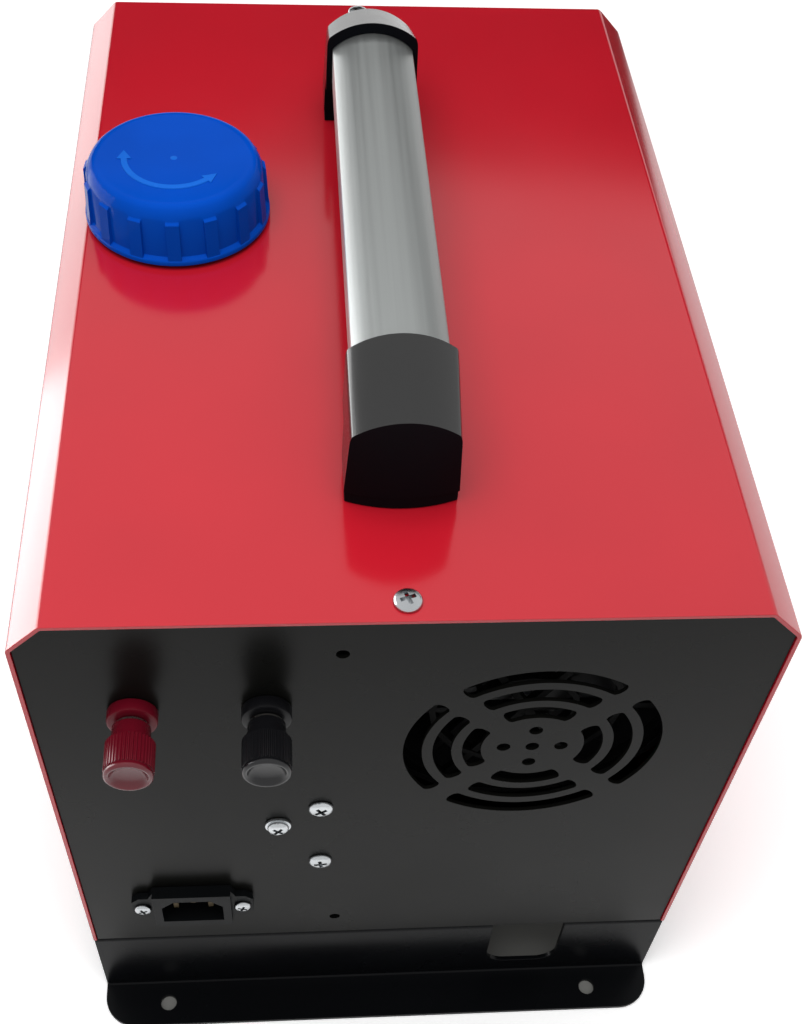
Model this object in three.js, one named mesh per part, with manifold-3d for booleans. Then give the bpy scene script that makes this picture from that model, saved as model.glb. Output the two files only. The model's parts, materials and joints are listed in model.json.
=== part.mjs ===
// Portable all-in-one diesel air heater.
//
// Millimetres, +Z up. The origin is on the ground, under the middle of the cover's length and width.
// -Y is the end with the air grille, the mains inlet and the binding posts. +Y is the hot-air end.
// -X is the fuel side and +X is the heater side.

import * as THREE from 'three';
import { mergeVertices } from 'three/addons/utils/BufferGeometryUtils.js';
import Module from 'manifold-3d';

const wasm = await Module();
wasm.setup();

// ---------------------------------------------------------------- roundness

const SMALL = 10; // sides of a small round, such as a screw or a hole
const ROUND = 16; // sides of most rounds
const LARGE = 24; // sides of the case, the cap and the outlet

// ---------------------------------------------------------------- driving dimensions

const GAP = 0.3; // clearance between two pieces that rest on or beside each other

// casing
const WIDTH = 247; // over the cover's sides
const DEPTH = 359; // length of the cover
const HEIGHT = 270; // ground to the cover's top
const BASE_HEIGHT = 50; // ground to the top of the feet
const CHAMFER = 11.5; // folded corner of the cover, along each side
const COVER_SHEET = 1.5;
const PANEL_SHEET = 1.5;
const PANEL_INSET = 0.8; // end panels stand this far inside the cover's ends
const PANEL_LIP = 14; // top edge of each end panel, folded inwards
const FLOOR_SHEET = 1.5;
const FLOOR_LIP = 12; // turned-up edge of the floor pan
const FOOT_SHEET = 2;
const FOOT_TAB = 22; // top of each foot, folded under the floor
const FLANGE_REACH = 20;
const FLANGE_CORNER = 14;
const FLANGE_HOLE_R = 3.5;
const FLANGE_HOLE_SIDE = 28; // from each end of the flange
const FLANGE_HOLE_Y = 10; // in front of the panel's face
const NOTCH_X = 64;
const NOTCH_WIDTH = 31.5;
const NOTCH_DEPTH = 38;
const NOTCH_CORNER = 9;
const DIVIDER_X = -20;
const DIVIDER_SHEET = 1.2;
const DIVIDER_FLANGE = 12;
const DIVIDER_TOP_GAP = 16; // below the cover, for the wiring
const PANEL_HOLE_R = 2.2; // open screw holes that join the front panel to the divider
const PANEL_HOLE_DROP = 17.3; // upper hole, below the cover's top
const PANEL_HOLE_RISE = 14.8; // lower hole, above the feet

// air grille in the front panel
const GRILLE_X = 45.8;
const GRILLE_DROP = 74; // its middle, below the cover's top
const GRILLE_R = 45; // outer edge of the outer ring of slots
const SLOT_WIDTH = 6.2;
const SLOT_PITCH = 10.3; // from one ring to the next
const SLOT_BRIDGE = 9; // metal left between two slots of a ring
const SLOT_RINGS = 3;
const DOT_R = 2.4;
const DOT_RING_R = 10.1;

// screws
const COVER_SCREW_SETBACK = 7.5; // from the cover's end
const SCREW_X = -1.5;
const COVER_SCREW = { head: 4.6, rise: 2.6, shank: 2, length: 9 };
const M4_SCREW = { head: 4, rise: 2.4, shank: 1.8, length: 9 };
const INLET_SCREW = { head: 3.4, rise: 1.6, shank: 1.5, length: 9 };
const SHANK_CLEARANCE = 0.4;
const EARTH_WASHER_R = 4.9;
const EARTH_WASHER_THICK = 1.2;
const EARTH = { x: -43.4, z: 146 };

// handle
const HANDLE_X = -1;
const HANDLE_FRONT = -134.4; // outer face of the front leg
const HANDLE_LENGTH = 239; // over both legs
const LEG_WIDTH = 36;
const LEG_TOP = 48.1; // above the cover, at the leg's inner rim
const LEG_OUTER_TOP = 38.3; // above the cover, at the leg's outer face
const LEG_ARCH = 6.9; // rise of the leg's arched top
const LEG_LENGTH = 29.2;
const LEG_FOOT = 20;
const LEG_BOW = 3.4; // how far the middle of the outer face stands out
const PAD_HEIGHT = 5;
const PAD_INSET = 0.8;
const TUBE_WIDTH = 31.6;
const TUBE_HEIGHT = 21;
const TUBE_ARCH = 6.8;
const TUBE_WALL = 1.8;
const TUBE_DROP = 4.3; // tube's top below the leg's inner rim
const TUBE_ENTRY = 8; // how far the tube enters a leg
const SOCKET_WALL = 3; // of the leg, below the tube
const SPIGOT = 14; // of the leg, reaching into the tube

// fuel side
const TANK_SIDE_GAP = 5; // to the cover and to the divider
const TANK_FRONT_GAP = 7; // behind the power supply
const TANK_REAR_GAP = 8; // to the controller
const TANK_TOP_GAP = 12.5; // below the cover
const TANK_FLOOR_GAP = 5;
const TANK_CORNER = 14;
const TANK_WALL = 2.5;
const NECK_SIDE = 45.9; // its middle, from the cover's side
const NECK_Y = 21.6;
const NECK_R = 24;
const NECK_WALL = 3;
const GASKET_R = 28.5;
const GASKET_THICK = 1.6;
const CAP_R = 35.2;
const CAP_TOP_R = 31.6;
const CAP_HEIGHT = 23;
const CAP_GAP = 1.5; // over the cover
const CAP_WALL = 2.4;
const CAP_SHOULDER = 6.5;
const CAP_ROUND = 4; // of the top's edge
const CAP_RIBS = 15;
const CAP_RIB_DEPTH = 1.3;
const SEAL_THICK = 1.6;
const CAP_CLEARANCE = 0.6; // cap's bore around the neck
const TANK_OUTLET_X = -48;
const TANK_OUTLET_RISE = 16.2; // above the floor pan
const TANK_OUTLET_LENGTH = 16;
const TANK_OUTLET_RIM = 3; // beyond the outlet's pipe
const HOSE_R = 4;
const HOSE_BORE_R = 2.6;
const HOSE_LEAD = 10; // straight stretch behind the outlet
const HOSE_BOW = 18; // sideways swing
const HOSE_SAG = 6;
const HOSE_TURN = 24; // from the level stretch to the pump's axis

// dosing pump
const PUMP_X = -44;
const PUMP_SETBACK = 31.2; // behind the front panel
const PUMP_Z = 137;
const PUMP_R = 13;
const PUMP_LENGTH = 62;
const PUMP_STUB_R = 3;
const PUMP_STUB = 12;
const PLUNGER_R = 3.2;
const PLUNGER_LENGTH = 30;
const PLUNGER_CLEARANCE = 0.3;
const PLUNGER_STROKE = 4;
const PUMP_SCREW_SIDE = 16.5; // from the pump's axis
const PUMP_SCREW_SPACING = 41;
const BRACKET_SHEET = 2;
const BRACKET_GRIP = 20; // height of the clamp around the pump
const BRACKET_DROP = 10; // clamp's middle below the pump's, clear of the earth bolt

// mains inlet and power supply
const INLET_X = -79;
const INLET_RISE = 35.3; // its middle, above the feet
const INLET_BODY = { width: 31, height: 25, proud: 5.2, depth: 20, shoulder: 1.5 };
const INLET_EAR = { width: 48.6, height: 16, proud: 3, round: 3 };
const INLET_SPACING = 40;
const SOCKET = { width: 24.4, height: 17, depth: 18, cut: 5 };
const PIN_PITCH = 7; // live and neutral, either side of the middle
const PIN_OFFSET = 2; // rows above and below the middle
const PIN = { wide: 2, high: 4, length: 17 };
const PIN_TAIL = 7;
const SUPPLY = { length: 78, height: 130 };
const SUPPLY_SIDE_GAP = 6; // to the cover
const SUPPLY_PUMP_GAP = 7; // to the dosing pump
const SUPPLY_GAP = 7; // behind the inlet's pins
const VENT_COUNT = 6;
const VENT_WIDTH = 4;
const VENT_PITCH = 11;
const VENT_SETBACK = 12; // first vent, behind the supply's front
const VENT_DEPTH = 3;
const VENT_MARGIN = 20; // above and below each vent

// binding posts
const POST_DROP = 46.6; // below the cover's top
const RED_POST_X = -88.9;
const BLACK_POST_X = -45.6;
const POST_COLLAR_R = 8.3;
const POST_COLLAR = 4.6;
const POST_WASHER_R = 5.4;
const POST_WASHER = 1;
const POST_NECK_R = 6.3;
const POST_NECK = 3.4;
const POST_CONE = 3.2;
const POST_KNOB_R = 8.1;
const POST_KNOB = 12.2;
const POST_STUD_R = 2;
const POST_BUSH_R = 5;
const POST_BUSH = 9; // collar's bush behind the panel
const POST_STUD_TAIL = 18;
const KNURL_TEETH = 9;
const KNURL_DEPTH = 0.5;
const POST_CLEARANCE = 0.25;

// controller on the rear panel
const CONTROL_SIDE = 48.5; // its middle, from the cover's side
const CONTROL_DROP = 64; // its middle, below the cover's top
const CONTROL = { width: 82, height: 52, proud: 5, depth: 16, corner: 6, wall: 2 };
const CONTROL_REBATE = 3; // face of the housing beyond its body
const WINDOW = { width: 50, height: 22, thick: 1.6, offset: 8 };
const BUTTON_R = 4.6;
const BUTTON_PITCH = 20;
const BUTTON_DROP = 16; // below the housing's middle
const BUTTON_PROUD = 2;
const BUTTON_DEPTH = 7;
const BUTTON_CLEARANCE = 0.35;

// heater unit
const CASE_R = 58;
const CASE_WALL = 2.5;
const CASE_FRONT_GAP = 14; // behind the front panel
const CASE_REAR_GAP = 8;
const CASE_SPLIT_GAP = 0.4;
const GUARD_THICK = 4;
const GUARD_RIM = 4;
const GUARD_RINGS = [18, 34];
const GUARD_RING_WIDTH = 2.4;
const GUARD_SPOKES = 6;
const GUARD_SPOKE_WIDTH = 3;
const RUN_GAP = 3; // between turning wheels and fixed pieces
const BLOWER_GAP = 5.5; // wheel's rim to the case's wall
const BLOWER_LENGTH = 22;
const BLOWER_BLADES = 9;
const BLOWER_HUB_R = 17;
const BLADE_THICK = 1.8;
const BLADE_LEAN = 38; // degrees
const MOTOR_R = 23;
const MOTOR_LENGTH = 52;
const MOTOR_ARM = 7; // width of each arm that holds the motor in the case
const SHAFT_R = 2.5;
const SHAFT_CLEARANCE = 0.3;
const COMBUSTION_R = 30;
const COMBUSTION_LENGTH = 13;
const COMBUSTION_BLADES = 8;
const COMBUSTION_HUB_R = 8;
const WHEEL_DISC = 2; // back plate of each wheel
const BURNER_RIM = 6; // flange beyond the exchanger's shell
const BURNER_FLANGE = 4;
const BURNER_ARM = 9;
const BURNER_R = 24;
const BURNER_WALL = 2;
const BURNER_LENGTH = 90;
const EXCHANGER_R = 38;
const EXCHANGER_WALL = 3;
const EXCHANGER_REAR_GAP = 35.1; // to the case's rear
const EXCHANGER_ROUND = 8; // sloping edge of its closed end
const FIN_GAP = 4.5; // fin's edge to the case's wall
const FIN_FRONT = 12; // fins begin behind the shell's mouth
const FIN_REAR = 10; // fins end before the shell's closed end
const FIN_THICK = 2;
const FIN_COUNT = 10;
const PLUG_R = 4;
const PLUG_LENGTH = 20; // of its stem
const PLUG_HEX_R = 6;
const PLUG_SEAT = 4; // hexagon above the exchanger's shell
const PIPE_R = 12;
const PIPE_WALL = 1.5;
const PIPE_END_Z = 18; // above the ground
const EXHAUST_SETBACK = 175; // behind the case's front
const AIR_SETBACK = 92;
const CRADLE_SHEET = 2;
const CRADLE_WIDTH = 76;
const CRADLE_FRONT = 30; // behind the case's front
const CRADLE_REAR = 60; // before the case's rear
const BOARD = { width: 44, length: 42, thick: 1.6, height: 36 };
const BOARD_SETBACK = 2; // behind the motor's front
const BOARD_RELAY = { x: -9, width: 14, length: 18, high: 6 };
const BOARD_CHIP = { x: 10, width: 10, length: 26, high: 3 };
const BOARD_POST_R = 2;
const BOARD_POST_INSET = 8;
const OUTLET_R = 38;
const OUTLET_WALL = 2.5;
const OUTLET_FLANGE_R = 47;
const OUTLET_FLANGE = 3;
const OUTLET_BARS = 5;
const OUTLET_BAR = 2.4;
const OUTLET_BAR_DEPTH = 6;
const FUEL_LINE_R = 2;
const LINE_LEAD = 20; // straight stretch at the pump and below the divider's top
const LINE_BEND = 8;
const LINE_CROSS = 16; // behind the pump, where it crosses the divider
const LINE_RUN = 30; // behind the pump, where it turns along the case
const LINE_CLEAR = 20; // from the case's wall

// ---------------------------------------------------------------- worked-out places

const GRILLE_Z = HEIGHT - GRILLE_DROP;
const POST_Z = HEIGHT - POST_DROP;
const PANEL_HOLE_ZS = [HEIGHT - PANEL_HOLE_DROP, BASE_HEIGHT + PANEL_HOLE_RISE];
const INLET_Z = BASE_HEIGHT + INLET_RISE;
const FRONT = -DEPTH / 2; // the cover's front edge
const FRONT_FACE = FRONT + PANEL_INSET;
const FRONT_INNER = FRONT_FACE + PANEL_SHEET;
const REAR_FACE = -FRONT_FACE;
const REAR_INNER = -FRONT_INNER;
const COVER_INNER_TOP = HEIGHT - COVER_SHEET;
const COVER_INNER_X = WIDTH / 2 - COVER_SHEET;
const FLOOR_Z = BASE_HEIGHT + GAP;
const FLOOR_TOP = FLOOR_Z + FLOOR_SHEET;
const CASE_FRONT = FRONT_INNER + CASE_FRONT_GAP;
const CASE_REAR = REAR_INNER - CASE_REAR_GAP;
const HEATER_BOTTOM = GRILLE_Z - CASE_R;
const PUMP_Y = FRONT_INNER + PUMP_SETBACK;
const PUMP_SCREW_X = PUMP_X + PUMP_SCREW_SIDE;
const INLET_BACK = FRONT_FACE - GAP + INLET_BODY.depth;
const SUPPLY_FRONT = INLET_BACK + PIN_TAIL + SUPPLY_GAP;
const NECK_X = -WIDTH / 2 + NECK_SIDE;
const CONTROL_X = -WIDTH / 2 + CONTROL_SIDE;
const CONTROL_Z = HEIGHT - CONTROL_DROP;
const CONTROL_BACK = REAR_FACE + GAP - CONTROL.depth;
const TANK_FRONT = SUPPLY_FRONT + SUPPLY.length + TANK_FRONT_GAP;
const TANK_REAR = CONTROL_BACK - TANK_REAR_GAP;
const TANK_TOP = COVER_INNER_TOP - TANK_TOP_GAP;
const TANK_OUTLET_Z = FLOOR_TOP + TANK_OUTLET_RISE;
const CASE_BORE = CASE_R - CASE_WALL;
const FIN_TIP = CASE_BORE - FIN_GAP;
const BLOWER_R = CASE_BORE - BLOWER_GAP;
const BURNER_FLANGE_R = EXCHANGER_R + BURNER_RIM;
const POST_REACH = POST_COLLAR + POST_WASHER + POST_NECK + POST_CONE + POST_KNOB + 3 * GAP;
const OUTLET_REACH = POST_REACH; // both ends reach equally far, which keeps the origin in the middle

// ---------------------------------------------------------------- geometry helpers

// A closed geometry with shared vertices and outward faces.
function closed(geometry) {
  const bare = geometry.clone();
  bare.deleteAttribute('normal');
  bare.deleteAttribute('uv');
  const merged = mergeVertices(bare, 1e-4);
  const index = merged.index.array;
  const place = merged.attributes.position;
  const corners = [new THREE.Vector3(), new THREE.Vector3(), new THREE.Vector3()];
  const kept = [];
  let volume = 0;
  for (let i = 0; i < index.length; i += 3) {
    const [a, b, c] = [index[i], index[i + 1], index[i + 2]];
    if (a === b || b === c || c === a) continue;
    kept.push(a, b, c);
    corners.forEach((corner, k) => corner.fromBufferAttribute(place, index[i + k]));
    volume += corners[0].dot(corners[1].cross(corners[2]));
  }
  if (volume < 0) {
    for (let i = 0; i < kept.length; i += 3) {
      [kept[i + 1], kept[i + 2]] = [kept[i + 2], kept[i + 1]];
    }
  }
  merged.setIndex(kept);
  return merged;
}

function toSolid(geometry) {
  const mesh = closed(geometry);
  return new wasm.Manifold(new wasm.Mesh({
    numProp: 3,
    vertProperties: new Float32Array(mesh.attributes.position.array),
    triVerts: new Uint32Array(mesh.index.array),
  }));
}

function toGeometry(solid) {
  const mesh = solid.getMesh();
  const geometry = new THREE.BufferGeometry();
  geometry.setAttribute('position', new THREE.BufferAttribute(new Float32Array(mesh.vertProperties), 3));
  geometry.setIndex(new THREE.BufferAttribute(new Uint32Array(mesh.triVerts), 1));
  return geometry;
}

function join(...geometries) {
  return toGeometry(geometries.map(toSolid).reduce((whole, piece) => whole.add(piece)));
}

function cut(geometry, ...tools) {
  return toGeometry(tools.map(toSolid).reduce((whole, tool) => whole.subtract(tool), toSolid(geometry)));
}

function common(first, second) {
  return toGeometry(toSolid(first).intersect(toSolid(second)));
}

function box(x, y, z) {
  const geometry = new THREE.BoxGeometry(x[1] - x[0], y[1] - y[0], z[1] - z[0]);
  return geometry.translate((x[0] + x[1]) / 2, (y[0] + y[1]) / 2, (z[0] + z[1]) / 2);
}

function around(middle, size) {
  return [middle - size / 2, middle + size / 2];
}

// A cylinder along +Y or +Z between two heights on that axis.
function rod(axis, radius, span, place, sides = ROUND) {
  const length = span[1] - span[0];
  const geometry = new THREE.CylinderGeometry(radius, radius, length, sides);
  if (axis === 'z') {
    geometry.rotateX(Math.PI / 2);
    return geometry.translate(place[0], place[1], (span[0] + span[1]) / 2);
  }
  return geometry.translate(place[0], (span[0] + span[1]) / 2, place[1]);
}

function ring(axis, outer, inner, span, place, sides = ROUND) {
  const past = [span[0] - 1, span[1] + 1];
  return cut(rod(axis, outer, span, place, sides), rod(axis, inner, past, place, sides));
}

// A turned piece about an axis along Y: profile points are [radius, y].
function turned(profile, place, sides = ROUND) {
  const points = profile.map(([radius, along]) => new THREE.Vector2(radius, along));
  return new THREE.LatheGeometry(points, sides).translate(place[0], 0, place[1]);
}

function outline(points) {
  return new THREE.Shape(points.map(([x, y]) => new THREE.Vector2(x, y)));
}

// An outline drawn in X and Z, given a thickness from y to y + thick.
function plateXZ(shape, y, thick, curveSegments = 6) {
  const geometry = new THREE.ExtrudeGeometry(shape, { depth: thick, bevelEnabled: false, curveSegments });
  return geometry.rotateX(Math.PI / 2).translate(0, y + thick, 0);
}

// An outline drawn in X and Y, given a thickness from z to z + thick.
function plateXY(shape, z, thick, curveSegments = 6) {
  const geometry = new THREE.ExtrudeGeometry(shape, { depth: thick, bevelEnabled: false, curveSegments });
  return geometry.translate(0, 0, z);
}

function roundedBox(x, y, z, corner) {
  const [width, depth] = [x[1] - x[0], y[1] - y[0]];
  return plateXY(roundedRectangle(x[0], y[0], width, depth, corner), z[0], z[1] - z[0], 3);
}

function roundedRectangle(left, bottom, width, height, corner) {
  const shape = new THREE.Shape();
  const [right, top] = [left + width, bottom + height];
  shape.moveTo(left + corner, bottom);
  shape.lineTo(right - corner, bottom);
  shape.absarc(right - corner, bottom + corner, corner, -Math.PI / 2, 0, false);
  shape.lineTo(right, top - corner);
  shape.absarc(right - corner, top - corner, corner, 0, Math.PI / 2, false);
  shape.lineTo(left + corner, top);
  shape.absarc(left + corner, top - corner, corner, Math.PI / 2, Math.PI, false);
  shape.lineTo(left, bottom + corner);
  shape.absarc(left + corner, bottom + corner, corner, Math.PI, 1.5 * Math.PI, false);
  return shape;
}

function tubeAlong(points, radius, sides, steps) {
  const path = new THREE.CatmullRomCurve3(points.map((p) => new THREE.Vector3(...p)), false, 'centripetal');
  const section = new THREE.Shape();
  section.absarc(0, 0, radius, 0, 2 * Math.PI, false);
  return new THREE.ExtrudeGeometry(section, {
    extrudePath: path,
    steps,
    curveSegments: sides / 2,
    bevelEnabled: false,
  });
}

// ---------------------------------------------------------------- the object

const heater = new THREE.Group();

const FINISH = {
  redPaint: { color: 0xb3202b, roughness: 0.3, metalness: 0.1 },
  blackPaint: { color: 0x2c2b29, roughness: 0.5, metalness: 0.1 },
  zinc: { color: 0xd5d8dc, roughness: 0.3, metalness: 0.9 },
  steel: { color: 0x8d9196, roughness: 0.4, metalness: 0.9 },
  aluminium: { color: 0x9da09f, roughness: 0.45, metalness: 0.9 },
  blackPlastic: { color: 0x17181a, roughness: 0.4, metalness: 0 },
  bluePlastic: { color: 0x1050b8, roughness: 0.35, metalness: 0 },
  redPlastic: { color: 0x8c1426, roughness: 0.4, metalness: 0 },
  whitePlastic: { color: 0xd9dad4, roughness: 0.6, metalness: 0 },
  rubber: { color: 0x141414, roughness: 0.8, metalness: 0 },
  brass: { color: 0xc2a25a, roughness: 0.35, metalness: 0.9 },
  board: { color: 0x1e5a34, roughness: 0.6, metalness: 0 },
  window: { color: 0x0c1014, roughness: 0.1, metalness: 0 },
};

function add(name, geometry, finish) {
  const mesh = new THREE.Mesh(closed(geometry), new THREE.MeshStandardMaterial(FINISH[finish]));
  mesh.name = name;
  heater.add(mesh);
  return mesh;
}

// The casing's cross-section, drawn inset from the cover's outside.
function casingOutline(inset, bottom) {
  const half = WIDTH / 2 - inset;
  const top = HEIGHT - inset;
  const chamfer = CHAMFER - inset * (2 - Math.SQRT2);
  return [
    [-half, bottom], [half, bottom], [half, top - chamfer],
    [half - chamfer, top], [-half + chamfer, top], [-half, top - chamfer],
  ];
}

function coverScrewHole(y, radius) {
  const span = [HEIGHT - COVER_SCREW.length, HEIGHT + 1];
  return rod('z', radius, span, [SCREW_X, y], SMALL);
}

const COVER_SCREW_YS = { front: FRONT + COVER_SCREW_SETBACK, rear: -FRONT - COVER_SCREW_SETBACK };
const CASING_CLEAR = COVER_SHEET + GAP;

// --- feet and floor

function foot(side) {
  const face = side * REAR_FACE;
  const spanY = (from, to) => [face + side * from, face + side * to].sort((a, b) => a - b);
  const band = box(around(0, WIDTH), spanY(-FOOT_SHEET, 0), [0, BASE_HEIGHT]);
  const tab = box(around(0, WIDTH), spanY(-FOOT_TAB, 0), [BASE_HEIGHT - FOOT_SHEET, BASE_HEIGHT]);
  const flange = roundedBox(
    around(0, WIDTH), spanY(-FLANGE_CORNER * 3, FLANGE_REACH), [0, FOOT_SHEET], FLANGE_CORNER,
  );
  const behind = box(around(0, WIDTH + 2), spanY(-FLANGE_CORNER * 4, -FOOT_SHEET), [-1, FOOT_SHEET + 1]);
  const holeX = WIDTH / 2 - FLANGE_HOLE_SIDE;
  const holes = [-holeX, holeX].map(
    (x) => rod('z', FLANGE_HOLE_R, [-1, FOOT_SHEET + 1], [x, face + side * FLANGE_HOLE_Y], SMALL),
  );
  const notchLow = BASE_HEIGHT - NOTCH_DEPTH;
  const notch = plateXZ(
    roundedRectangle(
      NOTCH_X - NOTCH_WIDTH / 2, notchLow, NOTCH_WIDTH, NOTCH_DEPTH + 2 * NOTCH_CORNER, NOTCH_CORNER,
    ),
    Math.min(face + side * 1, face - side * (FOOT_TAB + 1)), FOOT_TAB + 2, 4,
  );
  return cut(join(band, tab, cut(flange, behind)), notch, ...holes);
}

add('front_foot', foot(-1), 'blackPaint');
add('rear_foot', foot(1), 'blackPaint');

const PIPES = {
  exhaust: { x: GRILLE_X, y: CASE_FRONT + EXHAUST_SETBACK },
  air: { x: GRILLE_X, y: CASE_FRONT + AIR_SETBACK },
};

function pipeHole(pipe, z, clearance = GAP) {
  return rod('z', PIPE_R + clearance, z, [pipe.x, pipe.y], ROUND);
}

const floorHalf = WIDTH / 2 - CASING_CLEAR;
const floorEnd = REAR_INNER - GAP;
add('base_floor', cut(
  box([-floorHalf, floorHalf], [-floorEnd, floorEnd], [FLOOR_Z, FLOOR_TOP + FLOOR_LIP]),
  box(
    [-floorHalf + FLOOR_SHEET, floorHalf - FLOOR_SHEET], [-floorEnd + FLOOR_SHEET, floorEnd - FLOOR_SHEET],
    [FLOOR_TOP, FLOOR_TOP + FLOOR_LIP + 1],
  ),
  ...Object.values(PIPES).map((pipe) => pipeHole(pipe, [FLOOR_Z - 1, FLOOR_TOP + 1])),
), 'blackPaint');

// --- cover

const coverOuter = casingOutline(0, BASE_HEIGHT + GAP);
const coverInner = casingOutline(COVER_SHEET, BASE_HEIGHT + GAP);
const coverProfile = [...coverOuter.slice(1), coverOuter[0], coverInner[0], ...coverInner.slice(1).reverse()];
const gasketHole = GASKET_R - 2;
add('cover', cut(
  plateXZ(outline(coverProfile), FRONT, DEPTH),
  rod('z', gasketHole, [COVER_INNER_TOP - 1, HEIGHT + 1], [NECK_X, NECK_Y], LARGE),
  coverScrewHole(COVER_SCREW_YS.front, COVER_SCREW.shank + SHANK_CLEARANCE),
  coverScrewHole(COVER_SCREW_YS.rear, COVER_SCREW.shank + SHANK_CLEARANCE),
), 'redPaint');

// --- end panels

// A round hole whose flats, not its corners, lie at the radius.
function circleHole(shape, x, z, radius, sides = SMALL) {
  const reach = radius / Math.cos(Math.PI / sides);
  const points = Array.from({ length: sides }, (_, i) => {
    const angle = (-i * 2 * Math.PI) / sides;
    return new THREE.Vector2(x + reach * Math.cos(angle), z + reach * Math.sin(angle));
  });
  shape.holes.push(new THREE.Path(points));
}

// One curved slot with round ends, centred on the angle `middle`.
function arcSlot(radius, middle) {
  const half = Math.PI / 4 - Math.asin((SLOT_BRIDGE / 2 + SLOT_WIDTH / 2) / radius);
  const points = [];
  const sweep = (r, from, to, steps) => {
    for (let i = 0; i <= steps; i += 1) {
      const angle = middle + from + ((to - from) * i) / steps;
      points.push([GRILLE_X + r * Math.cos(angle), GRILLE_Z + r * Math.sin(angle)]);
    }
  };
  const end = (angle, turn) => {
    const [cx, cz] = [GRILLE_X + radius * Math.cos(angle), GRILLE_Z + radius * Math.sin(angle)];
    for (let i = 1; i < 3; i += 1) {
      const a = angle + turn + (i * Math.PI) / 3;
      points.push([cx + (SLOT_WIDTH / 2) * Math.cos(a), cz + (SLOT_WIDTH / 2) * Math.sin(a)]);
    }
  };
  const steps = Math.max(3, Math.round(radius / 9));
  sweep(radius + SLOT_WIDTH / 2, -half, half, steps);
  end(middle + half, 0);
  sweep(radius - SLOT_WIDTH / 2, half, -half, steps);
  end(middle - half, Math.PI);
  return new THREE.Path(points.reverse().map(([x, z]) => new THREE.Vector2(x, z)));
}

function cutGrille(shape) {
  for (let k = 0; k < SLOT_RINGS; k += 1) {
    const radius = GRILLE_R - SLOT_WIDTH / 2 - k * SLOT_PITCH;
    for (let side = 0; side < 4; side += 1) shape.holes.push(arcSlot(radius, (side * Math.PI) / 2));
  }
  circleHole(shape, GRILLE_X, GRILLE_Z, DOT_R);
  for (let side = 0; side < 4; side += 1) {
    const angle = (side * Math.PI) / 2;
    const [x, z] = [DOT_RING_R * Math.cos(angle), DOT_RING_R * Math.sin(angle)];
    circleHole(shape, GRILLE_X + x, GRILLE_Z + z, DOT_R);
  }
}

const PANEL_LOW = BASE_HEIGHT + GAP;
const PANEL_HOLES = PANEL_HOLE_ZS.map((z) => [DIVIDER_X - DIVIDER_SHEET, z]);
const PUMP_SCREW_ZS = [PUMP_Z + PUMP_SCREW_SPACING / 2, PUMP_Z - PUMP_SCREW_SPACING / 2];

function panelLip(y) {
  const half = WIDTH / 2 - CHAMFER - CASING_CLEAR;
  const top = HEIGHT - CASING_CLEAR;
  return box([-half, half], y, [top - PANEL_SHEET, top]);
}

function inletCutout(clearance) {
  const inset = 2 * (clearance - INLET_BODY.shoulder);
  const size = [INLET_BODY.width + inset, INLET_BODY.height + inset];
  return [around(INLET_X, size[0]), around(INLET_Z, size[1])];
}

const frontShape = outline(casingOutline(CASING_CLEAR, PANEL_LOW));
cutGrille(frontShape);
PANEL_HOLES.forEach(([x, z]) => circleHole(frontShape, x, z, PANEL_HOLE_R));
PUMP_SCREW_ZS.forEach((z) => circleHole(frontShape, PUMP_SCREW_X, z, M4_SCREW.shank + SHANK_CLEARANCE));
circleHole(frontShape, EARTH.x, EARTH.z, M4_SCREW.shank + SHANK_CLEARANCE);
[RED_POST_X, BLACK_POST_X].forEach((x) => circleHole(frontShape, x, POST_Z, POST_BUSH_R + POST_CLEARANCE));
[-1, 1].forEach((side) => circleHole(
  frontShape, INLET_X + (side * INLET_SPACING) / 2, INLET_Z, INLET_SCREW.shank + SHANK_CLEARANCE,
));
const [inletX, inletZ] = inletCutout(GAP);
add('front_panel', cut(
  join(
    plateXZ(frontShape, FRONT_FACE, PANEL_SHEET, 4),
    panelLip([FRONT_FACE, FRONT_FACE + PANEL_LIP]),
  ),
  box(inletX, [FRONT_FACE - 1, FRONT_INNER + 1], inletZ),
  coverScrewHole(COVER_SCREW_YS.front, COVER_SCREW.shank + SHANK_CLEARANCE),
), 'blackPaint');

const rearShape = outline(casingOutline(CASING_CLEAR, PANEL_LOW));
circleHole(rearShape, GRILLE_X, GRILLE_Z, OUTLET_R + GAP, LARGE);
const controlBody = {
  width: CONTROL.width - 2 * CONTROL_REBATE,
  height: CONTROL.height - 2 * CONTROL_REBATE,
};
add('rear_panel', cut(
  join(
    plateXZ(rearShape, REAR_INNER, PANEL_SHEET),
    panelLip([REAR_FACE - PANEL_LIP, REAR_FACE]),
  ),
  box(
    around(CONTROL_X, controlBody.width + 2 * GAP), [REAR_INNER - 1, REAR_FACE + 1],
    around(CONTROL_Z, controlBody.height + 2 * GAP),
  ),
  coverScrewHole(COVER_SCREW_YS.rear, COVER_SCREW.shank + SHANK_CLEARANCE),
), 'blackPaint');

// --- divider wall, with a flange behind each end panel

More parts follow.
